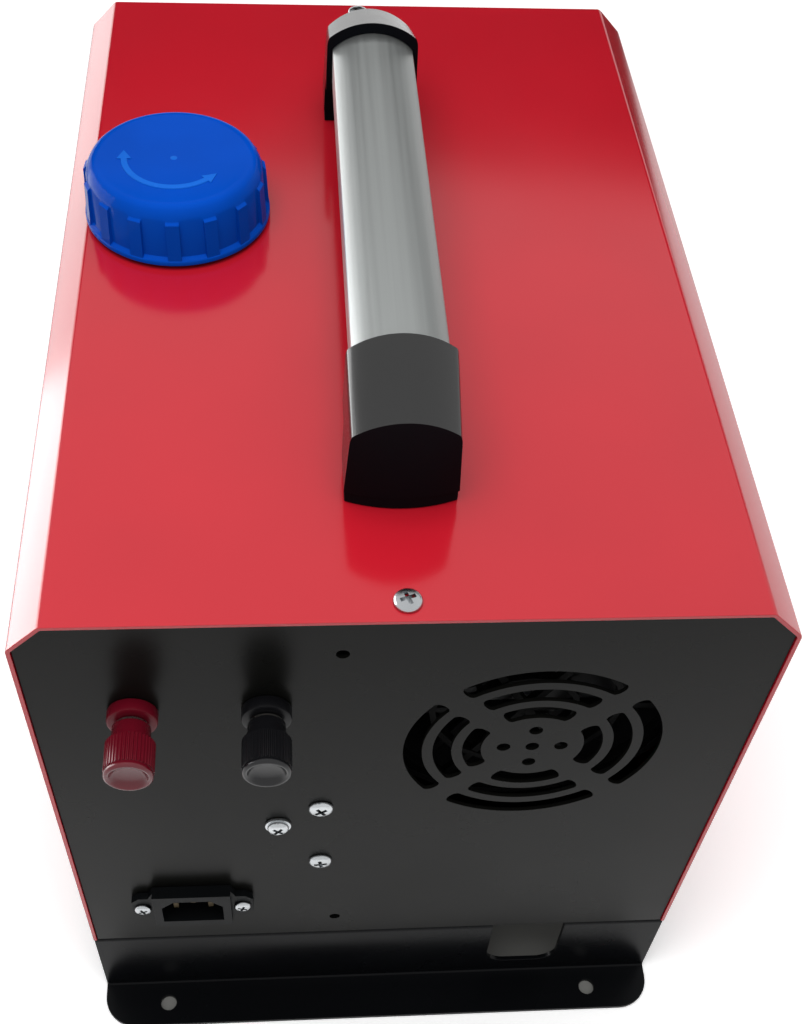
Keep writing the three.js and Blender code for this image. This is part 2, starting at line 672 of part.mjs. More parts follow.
const dividerEnd = floorEnd - FLOOR_SHEET - GAP;
const dividerTop = COVER_INNER_TOP - DIVIDER_TOP_GAP;
const dividerBottom = FLOOR_TOP + GAP;
function dividerFlange(y) {
  return box([DIVIDER_X - DIVIDER_FLANGE, DIVIDER_X + DIVIDER_SHEET], y, [dividerBottom, dividerTop]);
}
add('divider', join(
  box([DIVIDER_X, DIVIDER_X + DIVIDER_SHEET], [-dividerEnd, dividerEnd], [dividerBottom, dividerTop]),
  cut(
    dividerFlange([-dividerEnd, -dividerEnd + DIVIDER_SHEET]),
    ...PANEL_HOLES.map(([x, z]) => rod(
      'y', PANEL_HOLE_R - 0.4, [-dividerEnd - 1, -dividerEnd + 3], [x, z], SMALL,
    )),
    box(
      around(PUMP_SCREW_X, 14), [-dividerEnd - 1, -dividerEnd + 3],
      [PUMP_SCREW_ZS[1] - 10, PUMP_SCREW_ZS[0] + 10],
    ),
  ),
  dividerFlange([dividerEnd - DIVIDER_SHEET, dividerEnd]),
), 'zinc');

// --- screws: a domed head and a shank

function screwAlongY(size, x, z, seat, washer = null) {
  const dome = [
    [0, seat - size.rise], [size.head * 0.55, seat - size.rise], [size.head * 0.9, seat - size.rise * 0.7],
    [size.head, seat - size.rise * 0.25], [size.head, seat],
  ];
  const collar = washer ? [[washer.r, seat], [washer.r, seat + washer.thick]] : [];
  const under = seat + (washer ? washer.thick : 0);
  const shank = [[size.shank, under], [size.shank, seat + size.length], [0, seat + size.length]];
  return turned([...dome, ...collar, ...shank], [x, z], SMALL);
}

function coverScrew(y) {
  const upright = screwAlongY(COVER_SCREW, 0, 0, 0).rotateX(-Math.PI / 2);
  return upright.translate(SCREW_X, y, HEIGHT + GAP);
}

add('cover_screw_front', coverScrew(COVER_SCREW_YS.front), 'zinc');
add('cover_screw_rear', coverScrew(COVER_SCREW_YS.rear), 'zinc');

add('earth_bolt', screwAlongY(
  M4_SCREW, EARTH.x, EARTH.z, FRONT_FACE - GAP - EARTH_WASHER_THICK,
  { r: EARTH_WASHER_R, thick: EARTH_WASHER_THICK },
), 'zinc');

// --- handle

const HANDLE_REAR = HANDLE_FRONT + HANDLE_LENGTH;
const HANDLE_MIDDLE = (HANDLE_FRONT + HANDLE_REAR) / 2;
const TUBE_TOP = HEIGHT + LEG_TOP - TUBE_DROP;
const TUBE_BOTTOM = TUBE_TOP - TUBE_HEIGHT;

function archRadius(width, arch) {
  return (width * width / 4 + arch * arch) / (2 * arch);
}

// A section with a flat bottom, upright sides and an arched top, grown outwards by `grow`.
function archedSection({ width, bottom, top, radius }, grow = 0) {
  const half = width / 2 + grow;
  const grown = radius + grow;
  const spread = Math.asin(half / grown);
  const shape = new THREE.Shape();
  shape.moveTo(HANDLE_X - half, bottom - grow);
  shape.lineTo(HANDLE_X + half, bottom - grow);
  shape.absarc(HANDLE_X, top - radius, grown, Math.PI / 2 - spread, Math.PI / 2 + spread, false);
  return shape;
}

const TUBE_SECTION = {
  width: TUBE_WIDTH, bottom: TUBE_BOTTOM, top: TUBE_TOP, radius: archRadius(TUBE_WIDTH, TUBE_ARCH),
};
const LEG_SECTION = {
  width: LEG_WIDTH, bottom: HEIGHT + GAP, top: HEIGHT + LEG_TOP, radius: archRadius(LEG_WIDTH, LEG_ARCH),
};

const tubeFrom = HANDLE_FRONT + LEG_LENGTH - TUBE_ENTRY;
const tubeTo = HANDLE_REAR - LEG_LENGTH + TUBE_ENTRY;
add('handle_tube', cut(
  plateXZ(archedSection(TUBE_SECTION), tubeFrom, tubeTo - tubeFrom, 5),
  plateXZ(archedSection(TUBE_SECTION, -TUBE_WALL), tubeFrom - 1, tubeTo - tubeFrom + 2, 5),
), 'aluminium');

// The front leg is modelled in place, and the rear leg is its mirror about the handle's middle.
function handleLeg() {
  const bottom = LEG_SECTION.bottom;
  const inner = HANDLE_FRONT + LEG_LENGTH;
  const slope = Math.atan((LEG_TOP - LEG_OUTER_TOP) / LEG_LENGTH);
  const block = plateXZ(archedSection(LEG_SECTION), HANDLE_FRONT, LEG_LENGTH, 5);
  const bowRadius = archRadius(LEG_WIDTH, LEG_BOW);
  const bow = (inset) => rod(
    'z', bowRadius - inset, [bottom - 3, LEG_SECTION.top + 1],
    [HANDLE_X, HANDLE_FRONT + bowRadius], 3 * LARGE,
  );
  const sloped = plateXZ(
    archedSection({ ...LEG_SECTION, width: LEG_WIDTH + 2, bottom: HEIGHT - LEG_TOP }),
    -LEG_LENGTH * 3, LEG_LENGTH * 3, 5,
  ).translate(0, 0, -LEG_SECTION.top).rotateX(slope).translate(0, inner, LEG_SECTION.top);
  const underSocket = box(
    around(HANDLE_X, LEG_WIDTH + 2), [HANDLE_FRONT + LEG_FOOT, inner + 1],
    [bottom - 1, TUBE_BOTTOM - SOCKET_WALL],
  );
  const socket = plateXZ(
    archedSection(TUBE_SECTION, GAP), inner - TUBE_ENTRY - GAP, TUBE_ENTRY + GAP + 1, 5,
  );
  const spigot = plateXZ(
    archedSection(TUBE_SECTION, -TUBE_WALL - GAP), inner - TUBE_ENTRY - 2 * GAP,
    TUBE_ENTRY + 2 * GAP + SPIGOT, 5,
  );
  const padSole = common(box(
    around(HANDLE_X, LEG_WIDTH - 2 * PAD_INSET), [HANDLE_FRONT - 1, HANDLE_FRONT + LEG_FOOT - PAD_INSET],
    [bottom - 2, bottom + PAD_HEIGHT + 1],
  ), bow(PAD_INSET));
  const padRim = cut(
    box(around(HANDLE_X, LEG_WIDTH + 2), [HANDLE_FRONT - 2, inner], [bottom - 1, bottom + PAD_HEIGHT]),
    padSole,
  );
  return join(cut(common(common(block, bow(0)), sloped), underSocket, socket, padRim), spigot);
}

const frontLeg = handleLeg();
add('handle_leg_front', frontLeg, 'blackPlastic');
add('handle_leg_rear', frontLeg.clone().scale(1, -1, 1).translate(0, 2 * HANDLE_MIDDLE, 0), 'blackPlastic');

// --- fuel tank, gasket, seal and cap

const tankLeft = -COVER_INNER_X + TANK_SIDE_GAP;
const tankRight = DIVIDER_X - DIVIDER_SHEET - TANK_SIDE_GAP;
const tankBottom = FLOOR_TOP + TANK_FLOOR_GAP;
const NECK_TOP = HEIGHT + CAP_GAP + CAP_HEIGHT - CAP_WALL - SEAL_THICK - 2 * GAP;
add('fuel_tank', cut(
  join(
    roundedBox([tankLeft, tankRight], [TANK_FRONT, TANK_REAR], [tankBottom, TANK_TOP], TANK_CORNER),
    rod('z', NECK_R, [TANK_TOP - TANK_WALL, NECK_TOP], [NECK_X, NECK_Y], LARGE),
    // four pads that stand on the floor
    ...[tankLeft + TANK_CORNER, tankRight - TANK_CORNER].flatMap((x) => [
      TANK_FRONT + TANK_CORNER * 1.5, TANK_REAR - TANK_CORNER * 1.5,
    ].map((y) => rod('z', TANK_CORNER / 2, [FLOOR_TOP + GAP, tankBottom + 1], [x, y], SMALL))),
  ),
  roundedBox(
    [tankLeft + TANK_WALL, tankRight - TANK_WALL],
    [TANK_FRONT + TANK_WALL, TANK_REAR - TANK_WALL],
    [tankBottom + TANK_WALL, TANK_TOP - TANK_WALL], TANK_CORNER - TANK_WALL,
  ),
  rod('z', NECK_R - NECK_WALL, [TANK_TOP - 2 * TANK_WALL, NECK_TOP + 1], [NECK_X, NECK_Y], LARGE),
  rod('y', HOSE_R, [TANK_FRONT - 1, TANK_FRONT + TANK_WALL + 1], [TANK_OUTLET_X, TANK_OUTLET_Z], SMALL),
), 'whitePlastic');

// A grommet: its waist sits in the cover's hole and its bore fits the neck.
function upright(profile, place, sides) {
  return turned(profile, [0, 0], sides).rotateX(Math.PI / 2).translate(place[0], place[1], 0);
}

const gasketTop = HEIGHT + GAP + GASKET_THICK / 2;
const gasketLow = COVER_INNER_TOP - GAP - GASKET_THICK / 2;
const gasketBore = NECK_R + GAP;
const gasketWaist = gasketHole - GAP;
add('neck_gasket', upright([
  [gasketBore, gasketLow], [GASKET_R, gasketLow], [GASKET_R, COVER_INNER_TOP - GAP],
  [gasketWaist, COVER_INNER_TOP - GAP], [gasketWaist, HEIGHT + GAP], [GASKET_R, HEIGHT + GAP],
  [GASKET_R, gasketTop], [gasketBore, gasketTop], [gasketBore, gasketLow],
], [NECK_X, NECK_Y], LARGE), 'rubber');

const capLow = HEIGHT + CAP_GAP;
const capTop = capLow + CAP_HEIGHT;
const capBore = NECK_R + CAP_CLEARANCE;
add('cap_seal', rod(
  'z', capBore - GAP, [NECK_TOP + GAP, NECK_TOP + GAP + SEAL_THICK], [NECK_X, NECK_Y], LARGE,
), 'rubber');

function filletPoints(cx, cz, radius, from, to, steps) {
  return Array.from({ length: steps + 1 }, (_, i) => {
    const angle = from + ((to - from) * i) / steps;
    return [cx + radius * Math.cos(angle), cz + radius * Math.sin(angle)];
  });
}

// The cap: a smooth shoulder above, and recessed panels between upright ribs below.
const capSkirtR = CAP_R - CAP_RIB_DEPTH;
const capShell = upright([
  [0, capTop], ...filletPoints(CAP_TOP_R - CAP_ROUND, capTop - CAP_ROUND, CAP_ROUND, Math.PI / 2, 0, 3),
  [CAP_TOP_R + 0.8, capTop - CAP_SHOULDER], [capSkirtR, capLow + 4], [CAP_R, capLow + 3.4], [CAP_R, capLow],
  [capBore, capLow], [capBore, capTop - CAP_WALL], [0, capTop - CAP_WALL],
], [NECK_X, NECK_Y], 2 * CAP_RIBS);
const capRibs = Array.from({ length: CAP_RIBS }, (_, i) => {
  const rib = box([CAP_TOP_R - 1, CAP_R + 1], [-1.3, 1.3], [capLow + 1, capTop - CAP_SHOULDER + 1]);
  return rib.rotateZ((i * 2 * Math.PI) / CAP_RIBS).translate(NECK_X, NECK_Y, 0);
});
const capEnvelope = upright([
  [0, capTop], [CAP_TOP_R + 0.6, capTop], [CAP_TOP_R + 1.4, capTop - CAP_SHOULDER], [CAP_R, capLow],
  [0, capLow],
], [NECK_X, NECK_Y], 2 * CAP_RIBS);
add('filler_cap', join(capShell, ...capRibs.map((rib) => common(rib, capEnvelope))), 'bluePlastic');

// --- tank outlet, hose, dosing pump and fuel line

const outletFace = TANK_FRONT - GAP;
add('tank_outlet', turned([
  [0, outletFace - TANK_OUTLET_LENGTH], [HOSE_BORE_R, outletFace - TANK_OUTLET_LENGTH],
  [HOSE_BORE_R, outletFace - 5], [HOSE_R + TANK_OUTLET_RIM, outletFace - 5],
  [HOSE_R + TANK_OUTLET_RIM, outletFace],
  [HOSE_R - GAP, outletFace], [HOSE_R - GAP, TANK_FRONT + TANK_WALL], [0, TANK_FRONT + TANK_WALL],
], [TANK_OUTLET_X, TANK_OUTLET_Z], SMALL), 'brass');

const pumpAt = [PUMP_X, PUMP_Y];
const pumpLow = PUMP_Z - PUMP_LENGTH / 2;
const pumpHigh = PUMP_Z + PUMP_LENGTH / 2;
const plungerBore = PLUNGER_R + PLUNGER_CLEARANCE;
add('pump_body', upright([
  [PUMP_STUB_R - 1.4, pumpLow - PUMP_STUB], [PUMP_STUB_R, pumpLow - PUMP_STUB], [PUMP_STUB_R, pumpLow],
  [PUMP_R - 2, pumpLow], [PUMP_R, pumpLow + 2], [PUMP_R, pumpHigh - 2], [PUMP_R - 2, pumpHigh],
  [PUMP_STUB_R, pumpHigh], [PUMP_STUB_R, pumpHigh + PUMP_STUB], [PUMP_STUB_R - 1.4, pumpHigh + PUMP_STUB],
  [PUMP_STUB_R - 1.4, PUMP_Z + PLUNGER_LENGTH / 2 + PLUNGER_STROKE + GAP],
  [plungerBore, PUMP_Z + PLUNGER_LENGTH / 2 + PLUNGER_STROKE + GAP],
  [plungerBore, PUMP_Z - PLUNGER_LENGTH / 2 - GAP],
  [PUMP_STUB_R - 1.4, PUMP_Z - PLUNGER_LENGTH / 2 - GAP], [PUMP_STUB_R - 1.4, pumpLow - PUMP_STUB],
], pumpAt), 'steel');
add('pump_plunger', rod(
  'z', PLUNGER_R, [PUMP_Z - PLUNGER_LENGTH / 2, PUMP_Z + PLUNGER_LENGTH / 2], pumpAt, SMALL,
), 'zinc');

const bracketY = FRONT_INNER + GAP;
const bracketHigh = PUMP_SCREW_SPACING / 2 + 8;
const bracketArm = around(PUMP_Z - BRACKET_DROP, BRACKET_GRIP);
add('pump_bracket', cut(
  join(
    box(around(PUMP_SCREW_X, 12), [bracketY, bracketY + BRACKET_SHEET], around(PUMP_Z, 2 * bracketHigh)),
    box([PUMP_X - 5, PUMP_SCREW_X], [bracketY, bracketY + BRACKET_SHEET], bracketArm),
    box(around(PUMP_X, 10), [bracketY, PUMP_Y], bracketArm),
    ring('z', PUMP_R + GAP + 2.5, PUMP_R + GAP, bracketArm, pumpAt),
  ),
  rod('z', PUMP_R + GAP, [pumpLow, pumpHigh], pumpAt),
  ...PUMP_SCREW_ZS.map((z) => rod(
    'y', M4_SCREW.shank + SHANK_CLEARANCE, [bracketY - 1, bracketY + 4], [PUMP_SCREW_X, z], SMALL,
  )),
), 'rubber');
add('pump_screw_upper', screwAlongY(M4_SCREW, PUMP_SCREW_X, PUMP_SCREW_ZS[0], FRONT_FACE - GAP), 'zinc');
add('pump_screw_lower', screwAlongY(M4_SCREW, PUMP_SCREW_X, PUMP_SCREW_ZS[1], FRONT_FACE - GAP), 'zinc');

const pumpInlet = pumpLow - PUMP_STUB - GAP;
const pumpOutlet = pumpHigh + PUMP_STUB + GAP;
const tankTip = outletFace - TANK_OUTLET_LENGTH - GAP;
add('suction_hose', tubeAlong([
  [TANK_OUTLET_X, tankTip, TANK_OUTLET_Z], [TANK_OUTLET_X, tankTip - HOSE_LEAD, TANK_OUTLET_Z],
  [TANK_OUTLET_X + HOSE_BOW, tankTip - HOSE_BOW, TANK_OUTLET_Z - HOSE_R],
  [PUMP_X, tankTip - HOSE_BOW - HOSE_R, TANK_OUTLET_Z - HOSE_SAG],
  [PUMP_X, PUMP_Y + HOSE_TURN, TANK_OUTLET_Z - HOSE_R], [PUMP_X, PUMP_Y, pumpInlet - HOSE_TURN / 2],
  [PUMP_X, PUMP_Y, pumpInlet],
], HOSE_R, 8, 18), 'rubber');

// --- mains inlet

const inletFace = FRONT_FACE - GAP;
function inletOutline() {
  const [w, h] = [INLET_BODY.width / 2, INLET_BODY.height / 2];
  const [ew, eh] = [INLET_EAR.width / 2, INLET_EAR.height / 2];
  const round = INLET_EAR.round;
  const ear = [
    [w, -h], [w + 2, -eh], [ew - round, -eh], [ew, round - eh], [ew, eh - round], [ew - round, eh],
    [w + 2, eh], [w, h],
  ];
  const all = [...ear, ...ear.map(([x, z]) => [-x, -z])];
  return outline(all.map(([x, z]) => [INLET_X + x, INLET_Z + z]));
}
const [bodyX, bodyZ] = inletCutout(0);
const socketFrom = inletFace - INLET_BODY.proud;
const socketShape = outline([
  [-SOCKET.width / 2, -SOCKET.height / 2], [SOCKET.width / 2, -SOCKET.height / 2],
  [SOCKET.width / 2, SOCKET.height / 2 - SOCKET.cut], [SOCKET.width / 2 - SOCKET.cut, SOCKET.height / 2],
  [-SOCKET.width / 2 + SOCKET.cut, SOCKET.height / 2], [-SOCKET.width / 2, SOCKET.height / 2 - SOCKET.cut],
].map(([x, z]) => [INLET_X + x, INLET_Z + z]));
const PINS = { live: [-PIN_PITCH, -PIN_OFFSET], neutral: [PIN_PITCH, -PIN_OFFSET], earth: [0, PIN_OFFSET] };
const pinBack = socketFrom + SOCKET.depth;
function pinBox(offset, y, grow = 0) {
  return box(
    around(INLET_X + offset[0], PIN.wide + 2 * grow), y, around(INLET_Z + offset[1], PIN.high + 2 * grow),
  );
}
add('inlet_body', cut(
  join(
    plateXZ(inletOutline(), inletFace - INLET_EAR.proud, INLET_EAR.proud),
    box(
      around(INLET_X, INLET_BODY.width), [inletFace - INLET_BODY.proud, inletFace],
      around(INLET_Z, INLET_BODY.height),
    ),
    box(bodyX, [inletFace - 1, INLET_BACK], bodyZ),
  ),
  plateXZ(socketShape, socketFrom - 1, SOCKET.depth + 1),
  ...Object.values(PINS).map((offset) => pinBox(offset, [pinBack - 1, INLET_BACK + 1], GAP)),
  ...[-1, 1].map((side) => rod(
    'y', INLET_SCREW.shank + SHANK_CLEARANCE, [inletFace - INLET_EAR.proud - 1, inletFace + 1],
    [INLET_X + (side * INLET_SPACING) / 2, INLET_Z], SMALL,
  )),
), 'blackPlastic');
Object.entries(PINS).forEach(([name, offset]) => {
  add(`inlet_pin_${name}`, pinBox(offset, [pinBack - PIN.length + 3, INLET_BACK + PIN_TAIL]), 'brass');
});
const inletSeat = inletFace - INLET_EAR.proud - GAP;
add('inlet_screw_left', screwAlongY(INLET_SCREW, INLET_X - INLET_SPACING / 2, INLET_Z, inletSeat), 'zinc');
add('inlet_screw_right', screwAlongY(INLET_SCREW, INLET_X + INLET_SPACING / 2, INLET_Z, inletSeat), 'zinc');

// --- power supply: a box with cooling slots and a fan-side lip

const supplyX = [-COVER_INNER_X + SUPPLY_SIDE_GAP, PUMP_X - PUMP_R - SUPPLY_PUMP_GAP];
const supplyBottom = FLOOR_TOP + GAP;
add('power_supply', cut(
  box(
    supplyX, [SUPPLY_FRONT, SUPPLY_FRONT + SUPPLY.length], [supplyBottom, supplyBottom + SUPPLY.height],
  ),
  ...Array.from({ length: VENT_COUNT }, (_, i) => box(
    [supplyX[0] - 1, supplyX[0] + VENT_DEPTH],
    around(SUPPLY_FRONT + VENT_SETBACK + i * VENT_PITCH, VENT_WIDTH),
    [supplyBottom + VENT_MARGIN, supplyBottom + SUPPLY.height - VENT_MARGIN],
  )),
), 'steel');

// --- binding posts, all turned about an axis along Y

function bindingPost(name, x, plastic) {
  const at = [x, POST_Z];
  const seat = FRONT_FACE - GAP;
  const collarFace = seat - POST_COLLAR;
  const bore = POST_STUD_R + POST_CLEARANCE;
  add(`${name}_post_collar`, turned([
    [bore, collarFace], [POST_COLLAR_R - 0.6, collarFace], [POST_COLLAR_R, collarFace + 0.6],
    [POST_COLLAR_R, seat], [POST_BUSH_R, seat], [POST_BUSH_R, seat + POST_BUSH], [bore, seat + POST_BUSH],
    [bore, collarFace],
  ], at), plastic);
  const washerFace = collarFace - GAP - POST_WASHER;
  const knobBack = washerFace - GAP;
  const neckEnd = knobBack - POST_NECK;
  const coneEnd = neckEnd - POST_CONE;
  const knobEnd = coneEnd - POST_KNOB;
  const socketEnd = knobEnd + 3;
  const stud = rod('y', POST_STUD_R, [socketEnd + GAP, seat + POST_STUD_TAIL], at, SMALL);
  add(`${name}_post_stud`, stud, 'zinc');
  add(`${name}_post_washer`, turned([
    [bore, washerFace], [POST_WASHER_R, washerFace], [POST_WASHER_R, washerFace + POST_WASHER],
    [bore, washerFace + POST_WASHER], [bore, washerFace],
  ], at), 'zinc');
  const knobShell = turned([
    [0, knobEnd], [POST_KNOB_R - 0.9, knobEnd], [POST_KNOB_R - 0.1, knobEnd + 1], [POST_KNOB_R, coneEnd],
    [POST_NECK_R, neckEnd], [POST_NECK_R, knobBack], [bore, knobBack], [bore, socketEnd], [0, socketEnd],
  ], at);
  const teeth = Array.from({ length: KNURL_TEETH }, (_, i) => {
    const groove = box(
      [POST_KNOB_R - KNURL_DEPTH, POST_KNOB_R + 1], [knobEnd + 1.5, coneEnd - 1], [-0.45, 0.45],
    );
    return groove.rotateY((i * 2 * Math.PI) / KNURL_TEETH).translate(x, 0, POST_Z);
  });
  add(`${name}_post_knob`, cut(knobShell, ...teeth), plastic);
}

bindingPost('red', RED_POST_X, 'redPlastic');
bindingPost('black', BLACK_POST_X, 'blackPlastic');

// --- controller on the rear panel

const controlFace = REAR_FACE + GAP + CONTROL.proud;
const windowZ = CONTROL_Z + WINDOW.offset;
const buttonZ = CONTROL_Z - BUTTON_DROP;
const BUTTONS = { down: CONTROL_X - BUTTON_PITCH, power: CONTROL_X, up: CONTROL_X + BUTTON_PITCH };
const cavityTo = controlFace - CONTROL.wall - WINDOW.thick;
add('controller_housing', cut(
  join(
    plateXZ(roundedRectangle(
      CONTROL_X - CONTROL.width / 2, CONTROL_Z - CONTROL.height / 2, CONTROL.width, CONTROL.height,
      CONTROL.corner,
    ), REAR_FACE + GAP, CONTROL.proud, 4),
    box(
      around(CONTROL_X, controlBody.width), [CONTROL_BACK, REAR_FACE + GAP + 1],
      around(CONTROL_Z, controlBody.height),
    ),
  ),
  // hollow behind the face, open at the back
  box(
    around(CONTROL_X, controlBody.width - 2 * CONTROL.wall), [CONTROL_BACK - 1, cavityTo],
    around(CONTROL_Z, controlBody.height - 2 * CONTROL.wall),
  ),
  box(
    around(CONTROL_X, WINDOW.width + 2 * GAP), [controlFace - WINDOW.thick - GAP, controlFace + 1],
    around(windowZ, WINDOW.height + 2 * GAP),
  ),
  ...Object.values(BUTTONS).map((x) => rod(
    'y', BUTTON_R + BUTTON_CLEARANCE, [cavityTo - 1, controlFace + 1], [x, buttonZ], SMALL,
  )),
), 'blackPlastic');
add('controller_window', box(
  around(CONTROL_X, WINDOW.width), [controlFace - WINDOW.thick, controlFace], around(windowZ, WINDOW.height),
), 'window');
Object.entries(BUTTONS).forEach(([name, x]) => {
  const top = controlFace + BUTTON_PROUD;
  add(`${name}_button`, turned([
    [0, top - BUTTON_DEPTH], [BUTTON_R, top - BUTTON_DEPTH], [BUTTON_R, top - 0.8], [BUTTON_R - 0.8, top],
    [0, top],
  ], [x, buttonZ], SMALL), name === 'power' ? 'redPlastic' : 'blackPlastic');
});

// --- heater unit, all on one axis along Y through the air grille's middle

const AXIS = [GRILLE_X, GRILLE_Z];

function halfCase(upper) {
  const shell = cut(
    rod('y', CASE_R, [CASE_FRONT, CASE_REAR], AXIS, LARGE),
    rod('y', CASE_BORE, [CASE_FRONT - 1, CASE_REAR - CASE_WALL], AXIS, LARGE),
    rod('y', OUTLET_R - OUTLET_WALL, [CASE_REAR - 2 * CASE_WALL, CASE_REAR + 1], AXIS, LARGE),
  );
  const far = CASE_R + 1;
  const half = CASE_SPLIT_GAP / 2;
  const away = upper ? [GRILLE_Z - far, GRILLE_Z + half] : [GRILLE_Z - half, GRILLE_Z + far];
  return cut(shell, box(around(GRILLE_X, 2 * far), [CASE_FRONT - 1, CASE_REAR + 1], away));
}

// Arms from a fixed piece out to the case's wall, with the hot air passing between them.
function spider(hub, span, width) {
  const reach = CASE_BORE - GAP;
  const tips = rod('y', reach, span, AXIS, LARGE);
  return [0, 1, 2].map((i) => common(tips, box([hub - 2, reach + 2], span, around(0, width))
    .rotateY((i * 2 * Math.PI) / 3 - Math.PI / 2).translate(GRILLE_X, 0, GRILLE_Z)));
}

const wheelFront = CASE_FRONT + GUARD_THICK + RUN_GAP;
const wheelRear = wheelFront + BLOWER_LENGTH;
const motorFront = wheelRear + RUN_GAP;
const motorRear = motorFront + MOTOR_LENGTH;
const combustionFront = motorRear + RUN_GAP;
const combustionRear = combustionFront + COMBUSTION_LENGTH;
const burnerFace = combustionRear + RUN_GAP;
const burnerBack = burnerFace + BURNER_FLANGE;
const exchangerFront = burnerBack + GAP;
const exchangerRear = CASE_REAR - EXCHANGER_REAR_GAP;

const plugY = burnerBack + BURNER_LENGTH / 3;
const lineY = burnerFace + BURNER_FLANGE / 2;
const lineTurn = (3 * Math.PI) / 4; // the fuel line enters the case from above, on the divider's side
function onLine(radius, y = lineY) {
  return [GRILLE_X + radius * Math.cos(lineTurn), y, GRILLE_Z + radius * Math.sin(lineTurn)];
}
const lineHole = rod('z', FUEL_LINE_R + GAP, [CASE_R - 3 * CASE_WALL, CASE_R + 2], [0, 0], SMALL)
  .rotateY(Math.PI / 2 - lineTurn).translate(GRILLE_X, lineY, GRILLE_Z);
add('heater_case_upper', cut(halfCase(true), lineHole), 'blackPlastic');
add('heater_case_lower', cut(
  halfCase(false),
  pipeHole(PIPES.exhaust, [HEATER_BOTTOM - 2, GRILLE_Z - CASE_R / 2]),
  pipeHole(PIPES.air, [HEATER_BOTTOM - 2, GRILLE_Z - CASE_R / 2]),
), 'blackPlastic');

const guardR = CASE_BORE - GAP;
const guardSpan = [CASE_FRONT, CASE_FRONT + GUARD_THICK];
add('intake_guard', join(
  ring('y', guardR, guardR - GUARD_RIM, guardSpan, AXIS, LARGE),
  ...GUARD_RINGS.map((r) => ring(
    'y', r + GUARD_RING_WIDTH / 2, r - GUARD_RING_WIDTH / 2, guardSpan, AXIS, ROUND,
  )),
  ...Array.from({ length: GUARD_SPOKES / 2 }, (_, i) => box(
    around(0, 2 * guardR - 2), [CASE_FRONT + 0.5, CASE_FRONT + GUARD_THICK - 0.5],
    around(0, GUARD_SPOKE_WIDTH),
  ).rotateY((i * 2 * Math.PI) / GUARD_SPOKES).translate(GRILLE_X, 0, GRILLE_Z)),
), 'blackPlastic');

// A wheel: a hub on the shaft, a back disc and leaning blades.
function bladedWheel({ radius, hub, front, length, blades, lean, disc }) {
  const back = front + length;
  const pieces = [
    rod('y', hub, [front, back], AXIS, ROUND),
    rod('y', radius, [back - disc, back], AXIS, LARGE),
    ...Array.from({ length: blades }, (_, i) => {
      const blade = box([hub - 1, radius - 0.5], around(0, length - disc), around(0, BLADE_THICK));
      const tilted = blade.rotateX((lean * Math.PI) / 180);
      const centred = tilted.translate(0, (front + back - disc) / 2, 0);
      return centred.rotateY((i * 2 * Math.PI) / blades).translate(GRILLE_X, 0, GRILLE_Z);
    }),
  ];
  const within = rod('y', radius, [front, back], AXIS, LARGE);
  const bore = rod('y', SHAFT_R + GAP / 2, [front - 1, back + 1], AXIS, SMALL);
  return cut(common(join(...pieces), within), bore);
}

add('blower_wheel', bladedWheel({
  radius: BLOWER_R, hub: BLOWER_HUB_R, front: wheelFront, length: BLOWER_LENGTH, blades: BLOWER_BLADES,
  lean: BLADE_LEAN, disc: WHEEL_DISC,
}), 'blackPlastic');
add('combustion_wheel', bladedWheel({
  radius: COMBUSTION_R, hub: COMBUSTION_HUB_R, front: combustionFront, length: COMBUSTION_LENGTH,
  blades: COMBUSTION_BLADES, lean: 0, disc: WHEEL_DISC,
}), 'aluminium');
add('motor', cut(
  join(
    rod('y', MOTOR_R, [motorFront, motorRear], AXIS, ROUND),
    ...spider(MOTOR_R, [motorRear - BURNER_FLANGE, motorRear], MOTOR_ARM),
  ),
  rod('y', SHAFT_R + SHAFT_CLEARANCE, [motorFront - 1, motorRear + 1], AXIS, SMALL),
), 'steel');
add('motor_shaft', rod('y', SHAFT_R, [wheelFront - 1, combustionRear + 1], AXIS, SMALL), 'steel');

add('burner_tube', join(
  turned([
    [0, burnerFace], [BURNER_FLANGE_R, burnerFace], [BURNER_FLANGE_R, burnerBack], [BURNER_R, burnerBack],
    [BURNER_R, burnerBack + BURNER_LENGTH], [BURNER_R - BURNER_WALL, burnerBack + BURNER_LENGTH],
    [BURNER_R - BURNER_WALL, burnerBack], [0, burnerBack],
  ], AXIS, LARGE),
  ...spider(BURNER_FLANGE_R, [burnerFace, burnerBack], BURNER_ARM),
), 'steel');

function exchanger() {
  const bore = EXCHANGER_R - EXCHANGER_WALL;
  const innerRear = exchangerRear - EXCHANGER_WALL;
  const shell = turned([
    [bore, exchangerFront], [EXCHANGER_R, exchangerFront], [EXCHANGER_R, exchangerRear - EXCHANGER_ROUND],
    [EXCHANGER_R - EXCHANGER_ROUND, exchangerRear], [0, exchangerRear], [0, innerRear],
    [bore - EXCHANGER_ROUND + 1, innerRear], [bore, innerRear - EXCHANGER_ROUND + 1], [bore, exchangerFront],
  ], AXIS, LARGE);
  const fins = Array.from({ length: FIN_COUNT }, (_, i) => box(
    [EXCHANGER_R - 1, FIN_TIP], [exchangerFront + FIN_FRONT, exchangerRear - FIN_REAR], around(0, FIN_THICK),
  ).rotateY((i * 2 * Math.PI) / FIN_COUNT).translate(GRILLE_X, 0, GRILLE_Z));
  const stub = pipeHole(PIPES.exhaust, [GRILLE_Z - FIN_TIP, GRILLE_Z - EXCHANGER_R + 2], 2 * PIPE_WALL);
  const exit = pipeHole(PIPES.exhaust, [GRILLE_Z - FIN_TIP - 1, GRILLE_Z - bore + 3], -PIPE_WALL);
  const plug = rod(
    'z', PLUG_R + GAP, [GRILLE_Z + bore - 3, GRILLE_Z + FIN_TIP + 1], [GRILLE_X, plugY], SMALL,
  );
  return cut(join(shell, ...fins, stub), exit, plug);
}
add('heat_exchanger', exchanger(), 'aluminium');

